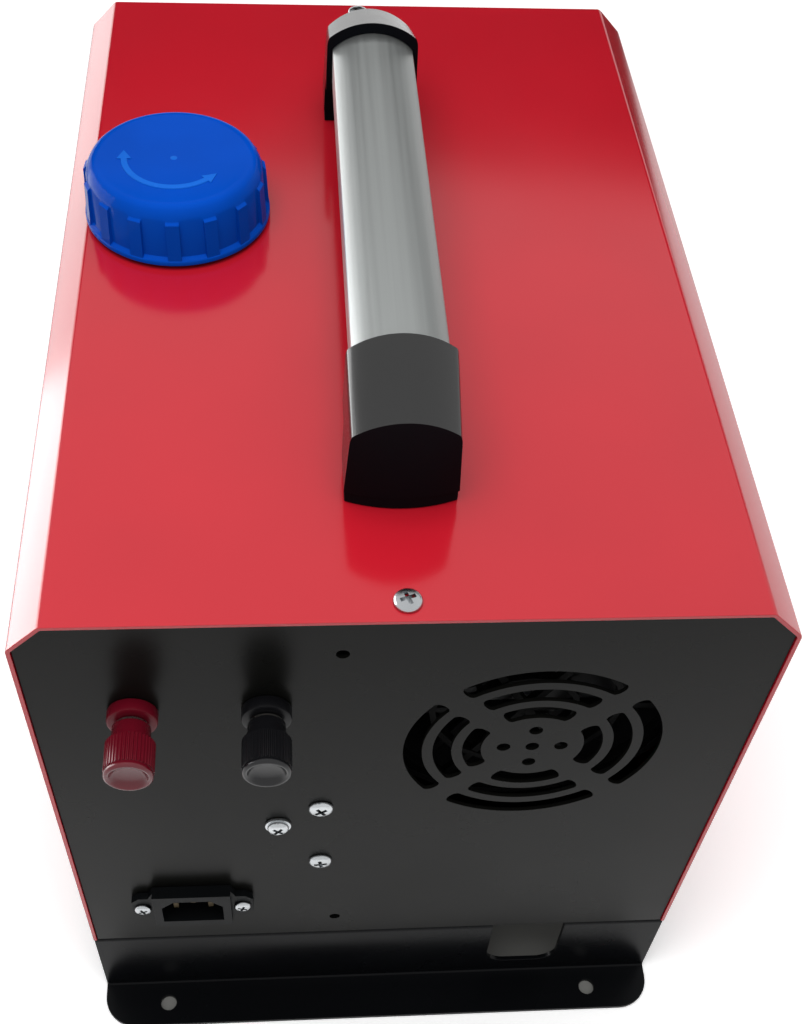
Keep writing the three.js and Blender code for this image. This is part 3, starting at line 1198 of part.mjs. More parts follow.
const plugTip = GRILLE_Z + BURNER_R + GAP;
const plugSeat = GRILLE_Z + EXCHANGER_R + PLUG_SEAT;
add('glow_plug', join(
  rod('z', PLUG_R, [plugTip, plugTip + PLUG_LENGTH], [GRILLE_X, plugY], SMALL),
  rod('z', PLUG_HEX_R, [plugSeat, GRILLE_Z + FIN_TIP], [GRILLE_X, plugY], 6),
), 'steel');

function pipe(place, top) {
  return ring('z', PIPE_R, PIPE_R - PIPE_WALL, [PIPE_END_Z, top], [place.x, place.y], ROUND);
}
add('exhaust_pipe', pipe(PIPES.exhaust, GRILLE_Z - FIN_TIP - GAP), 'steel');
add('air_pipe', pipe(PIPES.air, HEATER_BOTTOM + CASE_WALL + 4), 'blackPlastic');

const cradleTop = HEATER_BOTTOM - GAP;
const cradleX = around(GRILLE_X, CRADLE_WIDTH);
const cradleY = [CASE_FRONT + CRADLE_FRONT, CASE_REAR - CRADLE_REAR];
add('heater_cradle', cut(
  box(cradleX, cradleY, [FLOOR_TOP + GAP, GRILLE_Z - CASE_R / 2]),
  box(
    [cradleX[0] + CRADLE_SHEET, cradleX[1] - CRADLE_SHEET], [cradleY[0] - 1, cradleY[1] + 1],
    [FLOOR_TOP, cradleTop - CRADLE_SHEET],
  ),
  rod('y', CASE_R + GAP, [cradleY[0] - 1, cradleY[1] + 1], AXIS, LARGE),
  pipeHole(PIPES.exhaust, [FLOOR_TOP, GRILLE_Z]),
  pipeHole(PIPES.air, [FLOOR_TOP, GRILLE_Z]),
), 'zinc');

const boardZ = GRILLE_Z + BOARD.height;
const boardY = [motorFront + BOARD_SETBACK, motorFront + BOARD_SETBACK + BOARD.length];
function boardPart({ x, width, length, high }) {
  const middle = (boardY[0] + boardY[1]) / 2;
  return box(around(GRILLE_X + x, width), around(middle, length), [boardZ, boardZ + BOARD.thick + high]);
}
add('control_board', join(
  box(around(GRILLE_X, BOARD.width), boardY, [boardZ, boardZ + BOARD.thick]),
  boardPart(BOARD_RELAY),
  boardPart(BOARD_CHIP),
  // two posts that stand on the motor
  ...[boardY[0] + BOARD_POST_INSET, boardY[1] - BOARD_POST_INSET].map((y) => rod(
    'z', BOARD_POST_R, [GRILLE_Z + MOTOR_R + GAP, boardZ + 0.5], [GRILLE_X, y], SMALL,
  )),
), 'board');

// The hot-air outlet: a flange on the rear panel, a collar for a duct and upright guard bars.
const outletEnd = REAR_FACE + OUTLET_REACH;
const outletFlange = [REAR_FACE + GAP, REAR_FACE + GAP + OUTLET_FLANGE];
const outletBars = Array.from({ length: OUTLET_BARS }, (_, i) => {
  const inner = OUTLET_R - OUTLET_WALL;
  const x = GRILLE_X + ((i + 1) * 2 * inner) / (OUTLET_BARS + 1) - inner;
  const span = [outletFlange[0], outletFlange[0] + OUTLET_BAR_DEPTH];
  return box(around(x, OUTLET_BAR), span, around(GRILLE_Z, 2 * OUTLET_R));
});
add('outlet_grille', join(
  cut(
    join(
      rod('y', OUTLET_R, [CASE_REAR + GAP, outletEnd], AXIS, LARGE),
      rod('y', OUTLET_FLANGE_R, outletFlange, AXIS, LARGE),
    ),
    rod('y', OUTLET_R - OUTLET_WALL, [CASE_REAR - 1, outletEnd + 1], AXIS, LARGE),
  ),
  ...outletBars.map((bar) => common(bar, rod('y', OUTLET_R - 0.5, [CASE_REAR, outletEnd], AXIS, LARGE))),
), 'blackPlastic');

// the fuel line, from the pump over the divider to the burner's flange
const lineTop = dividerTop + DIVIDER_TOP_GAP / 2;
const [beyondX, , beyondZ] = onLine(CASE_R + LINE_CLEAR);
add('fuel_line', tubeAlong([
  [PUMP_X, PUMP_Y, pumpOutlet], [PUMP_X, PUMP_Y, pumpOutlet + LINE_LEAD],
  [PUMP_X, PUMP_Y + FUEL_LINE_R, dividerTop - LINE_LEAD],
  [PUMP_X + LINE_BEND, PUMP_Y + LINE_BEND, lineTop - LINE_BEND / 2],
  [DIVIDER_X, PUMP_Y + LINE_CROSS, lineTop],
  [beyondX, PUMP_Y + LINE_RUN, beyondZ], [beyondX, lineY - LINE_CLEAR, beyondZ],
  onLine(CASE_R + 2 * LINE_BEND), onLine(CASE_R + LINE_BEND), onLine(CASE_R), onLine(BURNER_FLANGE_R + GAP),
], FUEL_LINE_R, 6, 28), 'blackPlastic');

export default heater;
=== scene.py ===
"""A portable diesel air heater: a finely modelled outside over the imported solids, its finishes and its stage.

Run in Blender 4.5. Lengths are in metres, and MM turns a length written in millimetres into metres.
-Y is the end with the air grille, +Y is the hot-air end, and the ground is at Z = 0.
"""

import json
import math

import bmesh
import bpy
from bpy.props import FloatProperty, FloatVectorProperty, IntProperty, PointerProperty
from mathutils import Matrix, Vector


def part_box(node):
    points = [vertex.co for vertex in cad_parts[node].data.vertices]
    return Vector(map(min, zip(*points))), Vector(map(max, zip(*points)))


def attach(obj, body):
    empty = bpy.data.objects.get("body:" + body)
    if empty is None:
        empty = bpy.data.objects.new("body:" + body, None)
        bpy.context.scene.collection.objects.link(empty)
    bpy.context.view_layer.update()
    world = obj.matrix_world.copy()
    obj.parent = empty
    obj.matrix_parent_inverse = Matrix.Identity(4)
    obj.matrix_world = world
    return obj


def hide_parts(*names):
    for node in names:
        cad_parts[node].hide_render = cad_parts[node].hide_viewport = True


bl_info = {
    "name": "Portable diesel air heater",
    "version": (1, 0, 0),
    "blender": (4, 5, 0),
    "location": "View3D > Sidebar > Heater",
    "description": "Builds the outside, the finishes and the stage of a portable diesel air heater",
    "category": "Add Mesh",
}

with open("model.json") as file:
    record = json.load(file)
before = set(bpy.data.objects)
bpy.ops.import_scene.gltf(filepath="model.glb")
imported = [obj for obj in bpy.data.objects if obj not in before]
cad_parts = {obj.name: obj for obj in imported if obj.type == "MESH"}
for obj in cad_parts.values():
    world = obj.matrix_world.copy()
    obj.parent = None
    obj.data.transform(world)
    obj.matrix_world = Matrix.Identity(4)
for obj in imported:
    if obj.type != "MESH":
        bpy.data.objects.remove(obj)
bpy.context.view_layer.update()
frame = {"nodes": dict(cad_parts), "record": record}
MM = 0.001

COVER_LOW, COVER_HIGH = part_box("cover")
PANEL_LOW, PANEL_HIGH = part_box("front_panel")
REAR_FACE = -PANEL_LOW.y  # the rear panel's outside
CAP_LOW, CAP_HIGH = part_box("filler_cap")
CAP_X, CAP_Y, _ = (CAP_LOW + CAP_HIGH) / 2
TUBE_LOW, TUBE_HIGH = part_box("handle_tube")
HANDLE_X = (TUBE_LOW.x + TUBE_HIGH.x) / 2
CHAMFER = 11.5 * MM  # folded corner along each side of the cover
SHEET = 1.5 * MM
INSET = 1.8 * MM  # end panels inside the cover
GAP = 0.3 * MM  # between two pieces that rest on or beside each other
TOUCH = 0.001 * MM  # nearer than this, two places are one
SAME_TURN = 0.0001  # radians, nearer than this, two turns are one
ENDS = (("front", -1), ("rear", 1))  # each end of the heater and the way it faces along Y
GRILLE = Vector((45.8 * MM, 0, 196 * MM))
RING_RADII = (41.9, 31.6, 21.3)  # millimetres, the grille's three rings of slots
SCREW_X = -1.5 * MM  # the two screws in the cover's top
SCREW_ENDS = (COVER_LOW.y + 7.5 * MM, COVER_HIGH.y - 7.5 * MM)
STUD_BORE = 2.25  # millimetres, the hole through each piece of a binding post
SOFT_DEGREES = 38  # edges sharper than this are rounded, and the rest shaded smooth
PANEL_HOLES = (  # across, up and radius in millimetres
    (-21.2, 252.7, 2.2), (-21.2, 64.8, 2.2),  # open screw holes
    (-27.5, 157.5, 2.2), (-27.5, 116.5, 2.2), (-43.4, 146, 2.2),  # the pump's screws and the earth bolt
    (-88.9, 223.4, 5.25), (-45.6, 223.4, 5.25),  # binding posts
    (-99, 85.3, 1.9), (-59, 85.3, 1.9),  # the inlet's screws
)
LAMPS = (  # name, place, aim, size, watts, and whether it is only seen in reflections
    ("overhead", (-0.1, -0.22, 0.82), (-0.1, -0.2, 0), (0.45, 0.45), 2.6, False),
    ("left_near_window", (-0.72, 0.25, 0.32), (0, 0.25, 0.32), (0.7, 0.6), 8, True),
    ("left_far_window", (-0.72, 1.1, 0.32), (0, 1.1, 0.32), (1, 0.6), 3.6, True),
)
FLAGS = (("back_flag", (-1.5, 1.5), (0.5, 0.875)), ("right_flag", (0.3, 1.6), (0, 0.15)))  # name, across, up
FLAG_DISTANCE = 0.95
# Grey cards lying on the floor under the front foot: painted shade, seen through the foot's notch and bolt
# holes.
MATS = (  # name, across and along in millimetres, counted from the front panel's face
    ("notch_shade", (46, 98), (-2, 34)),
    ("flange_shade", (-101, 101), (-16, -3)),
)
CAMERA_PLACE = (-0.0367, -0.4232, 0.58894)
CAMERA_TURNS = ((-6.901, "Z"), (-52.769, "X"), (-4.441, "Y"), (90, "X"))  # degrees, the last one first
FRAME_SHIFT = (0.0112, 0.1152)  # of the photograph's frame, in widths


# ---- settings


def strength(name, description, default, **more):
    return FloatProperty(name=name, description=description, default=default, min=0, **more)


def length(name, description, default):
    return strength(name, description, default, unit="LENGTH", precision=5)


def colour(name, description, default):
    return FloatVectorProperty(
        name=name, description=description, default=default, subtype="COLOR", size=3, min=0, max=1
    )


class HeaterColours(bpy.types.PropertyGroup):
    """Colours of the heater's paints, plastics and metals"""

    red_paint: colour("Red paint", "Powder coat of the cover", (0.47, 0.009, 0.02))
    black_paint: colour("Black paint", "Powder coat of the end panels", (0.0045, 0.0045, 0.004))
    # A darker copy of the black paint: painted shade, for the dark reflection of the shaded floor in the feet's
    # bands.
    foot_painted_shade: colour("Foot paint", "Powder coat of the two feet", (0.003, 0.0033, 0.004))
    cap_blue: colour("Cap blue", "Plastic of the filler cap", (0.001, 0.06, 0.43))
    grip_black: colour("Leg black", "Plastic of the handle's legs", (0.01, 0.01, 0.01))
    inlet_black: colour("Inlet black", "Plastic of the mains inlet", (0.004, 0.0045, 0.005))
    tube_grey: colour("Tube grey", "Anodised skin of the handle's tube", (0.36, 0.375, 0.37))
    post_red: colour("Post red", "Plastic of the positive post", (0.11, 0.003, 0.01))
    post_black: colour("Post black", "Plastic of the negative post", (0.005, 0.005, 0.006))
    zinc: colour("Zinc", "Plate of the screws", (0.5, 0.52, 0.535))


class HeaterSizes(bpy.types.PropertyGroup):
    """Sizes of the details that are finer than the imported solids"""

    fold: length("Fold radius", "Outside radius of the cover's folds", 2.6 * MM)
    edge: length("Sheet edge", "Rounding of cut sheet edges", 0.25 * MM)
    slot_width: length("Slot width", "Width of the grille's curved slots", 6.6 * MM)
    slot_bridge: length("Slot bridge", "Metal left between two slots of a ring", 9 * MM)
    rib_width: length("Rib width", "Width of each rib of the cap", 5 * MM)
    rib_rise: length("Rib rise", "How far the cap's ribs stand out at their tops", 1.1 * MM)
    ribs: IntProperty(name="Cap ribs", description="Number of ribs round the cap", default=15, min=3)
    knurls: IntProperty(name="Knurls", description="Number of ridges round a post's knob", default=40, min=8)


class HeaterStage(bpy.types.PropertyGroup):
    """Lights, floor and camera"""

    lens: length("Lens", "Focal length on a 36 mm sensor", 47.03 * MM)
    floor: strength("Floor", "White of the floor as it lights the heater", 0.85)
    floor_shown: strength("Floor shown", "White of the floor as it is seen", 1.45)
    sky_low: strength("Low sky", "Light from near the ground", 0.1)
    sky_high: strength("High sky", "Light from overhead", 1.0)


# ---- mesh tools


def points(up, *pairs):
    """Radius and height pairs in millimetres, counted from a height in metres."""
    return [(radius * MM, up + rise * MM) for radius, rise in pairs]


def moved(mesh, step):
    bmesh.ops.translate(mesh, vec=step, verts=mesh.verts)
    return mesh


def rotated(mesh, angle, axis="Z"):
    bmesh.ops.rotate(mesh, cent=(0, 0, 0), matrix=Matrix.Rotation(angle, 3, axis), verts=mesh.verts)
    return mesh


def swept(mesh, parts, axis, angle, steps, centre=(0, 0, 0), climb=0.0, closed=False):
    """Sweeps parts of a mesh round an axis, rising by the climb at each step."""
    bmesh.ops.spin(
        mesh, geom=parts, cent=centre, axis=axis, dvec=(0, 0, climb), angle=angle, steps=steps,
        use_merge=closed, use_normal_flip=False, use_duplicate=False,
    )


def rounded(mesh, parts, radius, segments=6, affect="EDGES"):
    bmesh.ops.bevel(
        mesh, geom=parts, offset=radius, offset_type="OFFSET", affect=affect, segments=segments,
        profile=0.5, material=-1,
    )


def outward(mesh):
    """Turns every face of a mesh to look outwards."""
    bmesh.ops.recalc_face_normals(mesh, faces=mesh.faces)
    return mesh


def thickened(mesh, step):
    """A flat mesh given a thickness."""
    grown = bmesh.ops.extrude_face_region(mesh, geom=mesh.faces[:])
    pushed = [item for item in grown["geom"] if isinstance(item, bmesh.types.BMVert)]
    bmesh.ops.translate(mesh, vec=step, verts=pushed)
    return outward(mesh)


def about(middle, half):
    """The two limits on either side of a middle."""
    return middle - half, middle + half


def rectangle(across, up):
    return [(across[0], up[0]), (across[1], up[0]), (across[1], up[1]), (across[0], up[1])]


def block(x, y, z):
    """A mesh box between three pairs of limits."""
    mesh = bmesh.new()
    bmesh.ops.create_cube(mesh, size=1)
    size = [span[1] - span[0] for span in (x, y, z)]
    middle = [(span[0] + span[1]) / 2 for span in (x, y, z)]
    bmesh.ops.scale(mesh, vec=size, verts=mesh.verts)
    return moved(mesh, middle)


def stand(mesh, axis, place):
    """Turns a mesh made along +Z to run along the named axis, and moves it."""
    quarters = {"+Z": 0, "+Y": -1, "-Y": 1}
    return moved(rotated(mesh, quarters[axis] * math.pi / 2, "X"), place)


def rod(radius, span, axis="+Z", place=(0, 0, 0), sides=64, far_radius=None):
    """A cylinder or cone between two heights on its axis."""
    mesh = bmesh.new()
    bmesh.ops.create_cone(
        mesh, cap_ends=True, cap_tris=False, segments=sides, radius1=radius,
        radius2=radius if far_radius is None else far_radius, depth=span[1] - span[0],
    )
    return stand(moved(mesh, (0, 0, (span[0] + span[1]) / 2)), axis, place)


def turned(profile, axis="+Z", place=(0, 0, 0), steps=96):
    """A solid turned from radius and height pairs that start and end on the axis or close on themselves."""
    mesh = bmesh.new()
    verts = [mesh.verts.new((radius, 0, height)) for radius, height in profile]
    edges = [mesh.edges.new(pair) for pair in zip(verts, verts[1:])]
    if profile[0][0] > 0 and profile[-1][0] > 0:
        edges.append(mesh.edges.new((verts[-1], verts[0])))
    swept(mesh, verts + edges, (0, 0, 1), 2 * math.pi, steps, closed=True)
    bmesh.ops.remove_doubles(mesh, verts=mesh.verts, dist=TOUCH / 10)
    return stand(outward(mesh), axis, place)


def slab(outline, plane, span, rounds=None, segments=6):
    """A flat outline given a thickness. `rounds` gives a corner's number its radius."""
    mesh = bmesh.new()
    across = ("YZ", "XZ", "XY").index(plane)
    corners = [Vector((*pair[:across], span[0], *pair[across:])) for pair in outline]
    verts = [mesh.verts.new(corner) for corner in corners]
    mesh.faces.new(verts)
    for index, radius in (rounds or {}).items():
        before, corner, after = corners[index - 1], corners[index], corners[(index + 1) % len(corners)]
        inward = (before - corner).angle(after - corner)
        rounded(mesh, [verts[index]], radius / math.tan(inward / 2), segments, "VERTICES")
    push = Vector()
    push[across] = span[1] - span[0]
    return thickened(mesh, push)


def arched(width, bottom, top, rise, span, steps=32):
    """A bar along Y, centred on the handle, with a flat bottom, upright sides and an arched top."""
    mesh = bmesh.new()
    radius = (width * width / 4 + rise * rise) / (2 * rise)
    half = math.asin(width / 2 / radius)
    foot_left = mesh.verts.new((HANDLE_X - width / 2, span[0], bottom))
    foot_right = mesh.verts.new((HANDLE_X + width / 2, span[0], bottom))
    shoulder = mesh.verts.new((HANDLE_X - width / 2, span[0], top - rise))
    swept(mesh, [shoulder], (0, 1, 0), 2 * half, steps, (HANDLE_X, span[0], top - radius))
    end = max((v for v in mesh.verts if v not in (foot_left, foot_right)), key=lambda v: v.co.x)
    mesh.edges.new((foot_left, shoulder))
    mesh.edges.new((end, foot_right))
    mesh.edges.new((foot_right, foot_left))
    bmesh.ops.contextual_create(mesh, geom=mesh.edges[:])
    return thickened(mesh, (0, span[1] - span[0], 0))


def added(name, data):
    """A new object in the scene."""
    made = bpy.data.objects.new(name, data)
    bpy.context.scene.collection.objects.link(made)
    return made


def thing(name, mesh):
    """An object made of a finished mesh."""
    data = bpy.data.meshes.new(name)
    mesh.to_mesh(data)
    mesh.free()
    return added(name, data)


def settle(piece):
    """Applies the piece's modifiers."""
    bpy.context.view_layer.update()
    graph = bpy.context.evaluated_depsgraph_get()
    finished = bpy.data.meshes.new_from_object(piece.evaluated_get(graph))
    piece.modifiers.clear()
    rough, piece.data = piece.data, finished
    bpy.data.meshes.remove(rough)


def work(piece, operation, meshes):
    """Cuts, joins or keeps the shared part of a piece and some meshes."""
    tools = [thing("tool", mesh) for mesh in meshes]
    for tool in tools:
        modifier = piece.modifiers.new("work", "BOOLEAN")
        modifier.operation = operation
        modifier.solver = "EXACT"
        modifier.object = tool
    settle(piece)
    for tool in tools:
        bpy.data.objects.remove(tool)
    return piece


def cut(piece, *meshes):
    return work(piece, "DIFFERENCE", meshes)


def join(piece, *meshes):
    return work(piece, "UNION", meshes)


def keep(piece, *meshes):
    return work(piece, "INTERSECT", meshes)


def dress(piece, slot, replaces=(), body="frame", coat=None, edge=0.0, segments=2, angle=SOFT_DEGREES):
    """Gives a piece its finish, soft edges, smooth shading and its place on a body.

    The finish is the one named after the slot, unless a coat is named.
    """
    piece.data.materials.clear()
    piece.data.materials.append(finish(coat or slot))
    piece.data.shade_smooth()
    piece.data.set_sharp_from_angle(angle=math.radians(angle))
    if edge:
        bevel = piece.modifiers.new("soft edges", "BEVEL")
        bevel.width = edge
        bevel.segments = segments
        bevel.limit_method = "ANGLE"
        bevel.angle_limit = math.radians(angle)
        bevel.harden_normals = True
    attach(piece, body)
    if replaces:
        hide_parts(*replaces)


def softened(node, name, slot, edge, coat=None):
    """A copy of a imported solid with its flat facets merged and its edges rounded, in place of the solid."""
    mesh = bmesh.new()
    mesh.from_mesh(frame["nodes"][node].data)
    bmesh.ops.remove_doubles(mesh, verts=mesh.verts, dist=TOUCH)
    bmesh.ops.dissolve_limit(
        mesh, angle_limit=math.radians(1), use_dissolve_boundaries=False, verts=mesh.verts,
        edges=mesh.edges, delimit={"NORMAL"},
    )
    dress(thing(name, mesh), slot, (node,), coat=coat, edge=edge, angle=32)


# ---- finishes


def blended(tree, factor, low, high, start=0.0, end=1.0):
    """A number that runs from low to high as the factor runs from start to end."""
    blend = tree.nodes.new("ShaderNodeMapRange")
    for socket, value in (("From Min", start), ("From Max", end), ("To Min", low), ("To Max", high)):
        blend.inputs[socket].default_value = value
    tree.links.new(factor, blend.inputs["Value"])
    return blend


class Finish:
    """A material whose patterns follow the object's own coordinates."""

    def __init__(self, name, base, roughness, metallic=0.0, specular=0.5):
        self.material = bpy.data.materials.new(name)
        self.material.use_nodes = True
        self.tree = self.material.node_tree
        self.shader = self.tree.nodes["Principled BSDF"]
        self.base = tuple(base)
        self.set("Base Color", (*base, 1))
        self.set("Roughness", roughness)
        self.set("Metallic", metallic)
        self.set("Specular IOR Level", specular)
        self.place = self.node("ShaderNodeTexCoord").outputs["Object"]

    def set(self, socket, value):
        self.shader.inputs[socket].default_value = value
        return self

    def node(self, kind, **settings):
        made = self.tree.nodes.new(kind)
        for key, value in settings.items():
            setattr(made, key, value)
        return made

    def link(self, source, target):
        self.tree.links.new(source, target)

    def noise(self, scale, stretch=(1, 1, 1), detail=4):
        mapping = self.node("ShaderNodeMapping")
        mapping.inputs["Scale"].default_value = stretch
        noise = self.node("ShaderNodeTexNoise")
        noise.inputs["Scale"].default_value = scale
        noise.inputs["Detail"].default_value = detail
        self.link(self.place, mapping.inputs["Vector"])
        self.link(mapping.outputs["Vector"], noise.inputs["Vector"])
        return noise.outputs["Fac"]

    def spread(self, pattern, low, high):
        """A number that runs from low to high over the middle of the pattern's range."""
        return blended(self.tree, pattern, low, high, 0.3, 0.7).outputs["Result"]

    def shade(self, pattern, dark, light):
        """Varies the base colour between two multiples of it."""
        mix = self.node("ShaderNodeMix", data_type="RGBA")
        for socket, share in ((6, dark), (7, light)):
            mix.inputs[socket].default_value = (*(min(1, part * share) for part in self.base), 1)
        self.link(self.spread(pattern, 0, 1), mix.inputs[0])
        self.link(mix.outputs[2], self.shader.inputs["Base Color"])
        return self

    def gloss(self, pattern, low, high):
        self.link(self.spread(pattern, low, high), self.shader.inputs["Roughness"])
        return self

    def bump(self, pattern, depth, strength):
        """Raises the pattern by a depth in millimetres."""
        bump = self.node("ShaderNodeBump")
        bump.inputs["Strength"].default_value = strength
        bump.inputs["Distance"].default_value = depth * MM
        self.link(pattern, bump.inputs["Height"])
        self.link(bump.outputs["Normal"], self.shader.inputs["Normal"])
        return self


def powder_coat(name, base, roughness, specular):
    """Baked paint on sheet steel: a faint orange peel, and slow changes of gloss where it has been wiped."""
    paint = Finish(name, base, roughness, 0.0, specular)
    paint.shade(paint.noise(9, detail=3), 0.94, 1.05)
    paint.gloss(paint.noise(16, (1, 0.6, 1), 5), roughness * 0.88, roughness * 1.16)
    paint.bump(paint.noise(900, detail=2), 0.02, 0.25)
    return paint.material


def moulded(name, base, roughness, grain, depth=0.02, specular=0.5):
    """Injection-moulded plastic: a fine spark grain, and flow marks that change its gloss a little."""
    plastic = Finish(name, base, roughness, 0.0, specular)
    plastic.shade(plastic.noise(24, (1, 1, 0.4), 3), 0.92, 1.08)
    plastic.gloss(plastic.noise(60, (1, 0.5, 1), 4), roughness * 0.88, roughness * 1.14)
    plastic.bump(plastic.noise(grain, detail=3), depth, 0.3)
    return plastic.material


def metal(name, base, roughness, grain, stretch=(1, 1, 1), depth=0.02):
    """Plated, drawn or turned metal: fine marks along the way it was worked, and uneven tarnish."""
    bare = Finish(name, base, roughness, 1.0)
    marks = bare.noise(grain, stretch, 3)
    bare.shade(bare.noise(45, detail=4), 0.82, 1.06)
    bare.gloss(marks, roughness * 0.8, roughness * 1.25)
    bare.bump(marks, depth, 0.35)
    return bare.material


def rubber(name, base):
    """Moulded rubber with a dusty bloom."""
    soft = Finish(name, base, 0.72)
    soft.shade(soft.noise(30, detail=5), 0.8, 1.7)
    soft.bump(soft.noise(1400, detail=2), 0.04, 0.4)
    return soft.material


def make_finishes():
    """Every finish of the heater, by name."""
    c = bpy.context.scene.heater_colours
    tube = Finish("tube_anodised", c.tube_grey, 0.36, 0.85)
    drawn = tube.noise(420, (1, 0.012, 1), 4)
    tube.shade(drawn, 0.93, 1.05).gloss(drawn, 0.33, 0.42).bump(drawn, 0.015, 0.3)
    window = Finish("window_smoked", (0.006, 0.007, 0.009), 0.06, 0.0, 0.6)
    window.gloss(window.noise(20, detail=4), 0.04, 0.11).bump(window.noise(12, detail=1), 0.02, 0.1)
    board = Finish("board_lacquer", (0.008, 0.1, 0.035), 0.35)
    board.shade(board.noise(500, (1, 0.2, 1), 2), 0.7, 1.4).bump(board.noise(600, detail=1), 0.04, 0.4)
    tank = Finish("tank_polyethylene", (0.62, 0.62, 0.55), 0.42)
    tank.shade(tank.noise(10, detail=3), 0.9, 1.05).bump(tank.noise(500, detail=3), 0.08, 0.3)
    tank.set("Subsurface Weight", 0.15)
    tank.set("Subsurface Radius", (0.004, 0.004, 0.003))
    return {
        "red_cover": powder_coat("cover_red", c.red_paint, 0.14, 0.5),
        "black_steel": powder_coat("panel_black", c.black_paint, 0.28, 0.075),
        # Painted shade: the black powder coat made darker for the feet.
        "foot_coat_painted_shade": powder_coat("foot_black_painted_shade", c.foot_painted_shade, 0.26, 0.08),
        "zinc_screw": metal("screw_zinc", c.zinc, 0.24, 260),
        "zinc_sheet": metal("sheet_galvanised", (0.55, 0.57, 0.59), 0.38, 120),
        "satin_tube": tube.material,
        "leg_plastic": moulded("leg_black", c.grip_black, 0.2, 1100),
        # A darker, matt copy of the leg plastic: painted shade on the faces of the legs that look along Y, and
        # on their pads.
        "leg_painted_shade": moulded("leg_face_painted_shade", (0.0024, 0.0028, 0.004), 0.55, 1100, 0.04, 0.04),
        "inlet_plastic": moulded("inlet_black", c.inlet_black, 0.35, 1600, 0.03, 0.06),
        "black_plastic": moulded("moulded_black", (0.014, 0.014, 0.015), 0.42, 1600, 0.05),
        # A darker, duller copy of the black moulding: painted shade for the guard behind the grille's slots.
        "guard_painted_shade": moulded("guard_black_painted_shade", (0.004, 0.004, 0.004), 0.6, 1600, 0.05, 0.1),
        "tank_plastic": tank.material,
        "blue_plastic": moulded("cap_blue", c.cap_blue, 0.1, 700, 0.01, 0.02),
        # A lighter blue than the cap: painted highlight, for the light that the raised arrow catches.
        "arrow_painted_highlight": moulded("arrow_painted_highlight", (0.008, 0.12, 0.57), 0.25, 700, 0.01, 0.03),
        "red_plastic": moulded("post_red", c.post_red, 0.22, 900),
        "post_black": moulded("post_black", c.post_black, 0.24, 900, 0.02, 0.4),
        "red_collar": moulded("collar_red", c.post_red, 0.3, 900, 0.02, 0.12),
        "black_collar": moulded("collar_black", c.post_black, 0.3, 900, 0.02, 0.12),
        "button_red": moulded("button_red", (0.42, 0.015, 0.02), 0.35, 900),
        "window_tint": window.material,
        "seal_rubber": rubber("seal_nitrile", (0.012, 0.012, 0.012)),
        "line_plastic": moulded("line_nylon", (0.02, 0.02, 0.022), 0.35, 1200),
        "post_metal": metal("post_nickel", (0.3, 0.29, 0.27), 0.25, 400, (1, 0.1, 1)),
        "brass_metal": metal("contact_brass", (0.09, 0.068, 0.036), 0.34, 400, (1, 0.1, 1)),
        "pump_steel": metal("pump_turned", (0.52, 0.54, 0.56), 0.32, 500, (0.1, 0.1, 1)),
        "motor_steel": metal("motor_turned", (0.4, 0.41, 0.43), 0.4, 400, (1, 0.08, 1), 0.03),
        "cast_aluminium": metal("casting_aluminium", (0.5, 0.51, 0.52), 0.5, 700, depth=0.12),
        "pipe_steel": metal("pipe_stainless", (0.46, 0.46, 0.47), 0.34, 500, (1, 1, 0.05), 0.03),
        "pipe_plastic": moulded("pipe_black", (0.018, 0.018, 0.018), 0.45, 900, 0.05),
        "supply_case": metal("supply_sheet", (0.52, 0.54, 0.56), 0.4, 140, (1, 0.3, 1)),
        "board_green": board.material,
    }


FINISHES = {}


def finish(name):
    if not FINISHES:
        FINISHES.update(make_finishes())
    return FINISHES[name]


# ---- casing


def end_outline(inset, bottom):
    """Corners of the casing's section, drawn inset from the cover's outside."""
    half = COVER_HIGH.x - inset
    top = COVER_HIGH.z - inset
    fold = CHAMFER - inset * (2 - math.sqrt(2))
    return [
        (-half, bottom), (half, bottom), (half, top - fold),
        (half - fold, top), (-half + fold, top), (-half, top - fold),
    ]


def curved_slot(radius, turn, sizes):
    """A cutter for one slot of the grille: a band swept round the grille's middle, with round ends."""
    mesh = bmesh.new()
    half = math.pi / 4 - math.asin(sizes.slot_bridge / 2 / radius)
    corners = rectangle(about(radius, sizes.slot_width / 2), (-2 * MM, 5 * MM))
    verts = [mesh.verts.new((r, y, 0)) for r, y in corners]
    face = mesh.faces.new(verts)
    swept(mesh, [face, *face.edges, *verts], (0, 1, 0), 2 * half, max(8, round(radius / (1.4 * MM))))
    outward(mesh)
    angles = {v: math.atan2(-v.co.z, v.co.x) for v in mesh.verts}
    first, last = min(angles.values()), max(angles.values())
    ends = [
        edge for edge in mesh.edges
        if abs(edge.verts[0].co.y - edge.verts[1].co.y) > MM
        and all(min(abs(angles[v] - first), abs(angles[v] - last)) < SAME_TURN for v in edge.verts)
    ]
    rounded(mesh, ends, sizes.slot_width * 0.46)  # a little under half, so the rounds don't meet
    return moved(rotated(mesh, turn - half, "Y"), (GRILLE.x, PANEL_LOW.y, GRILLE.z))


def panel_hole(x, z, radius):
    return rod(radius, (-3 * MM, 5 * MM), "+Y", (x, PANEL_LOW.y, z), 32)


def grille_cutters(sizes):
    """The three rings of slots, with a round hole in their middle and four more beside it."""
    quarters = [side * math.pi / 2 for side in range(4)]
    cutters = [curved_slot(radius * MM, turn, sizes) for radius in RING_RADII for turn in quarters]
    hole, offset = 2.4 * MM, 10.1 * MM
    spots = [(0, 0), *((offset * math.cos(turn), offset * math.sin(turn)) for turn in quarters)]
    return cutters + [panel_hole(GRILLE.x + across, GRILLE.z + up, hole) for across, up in spots]


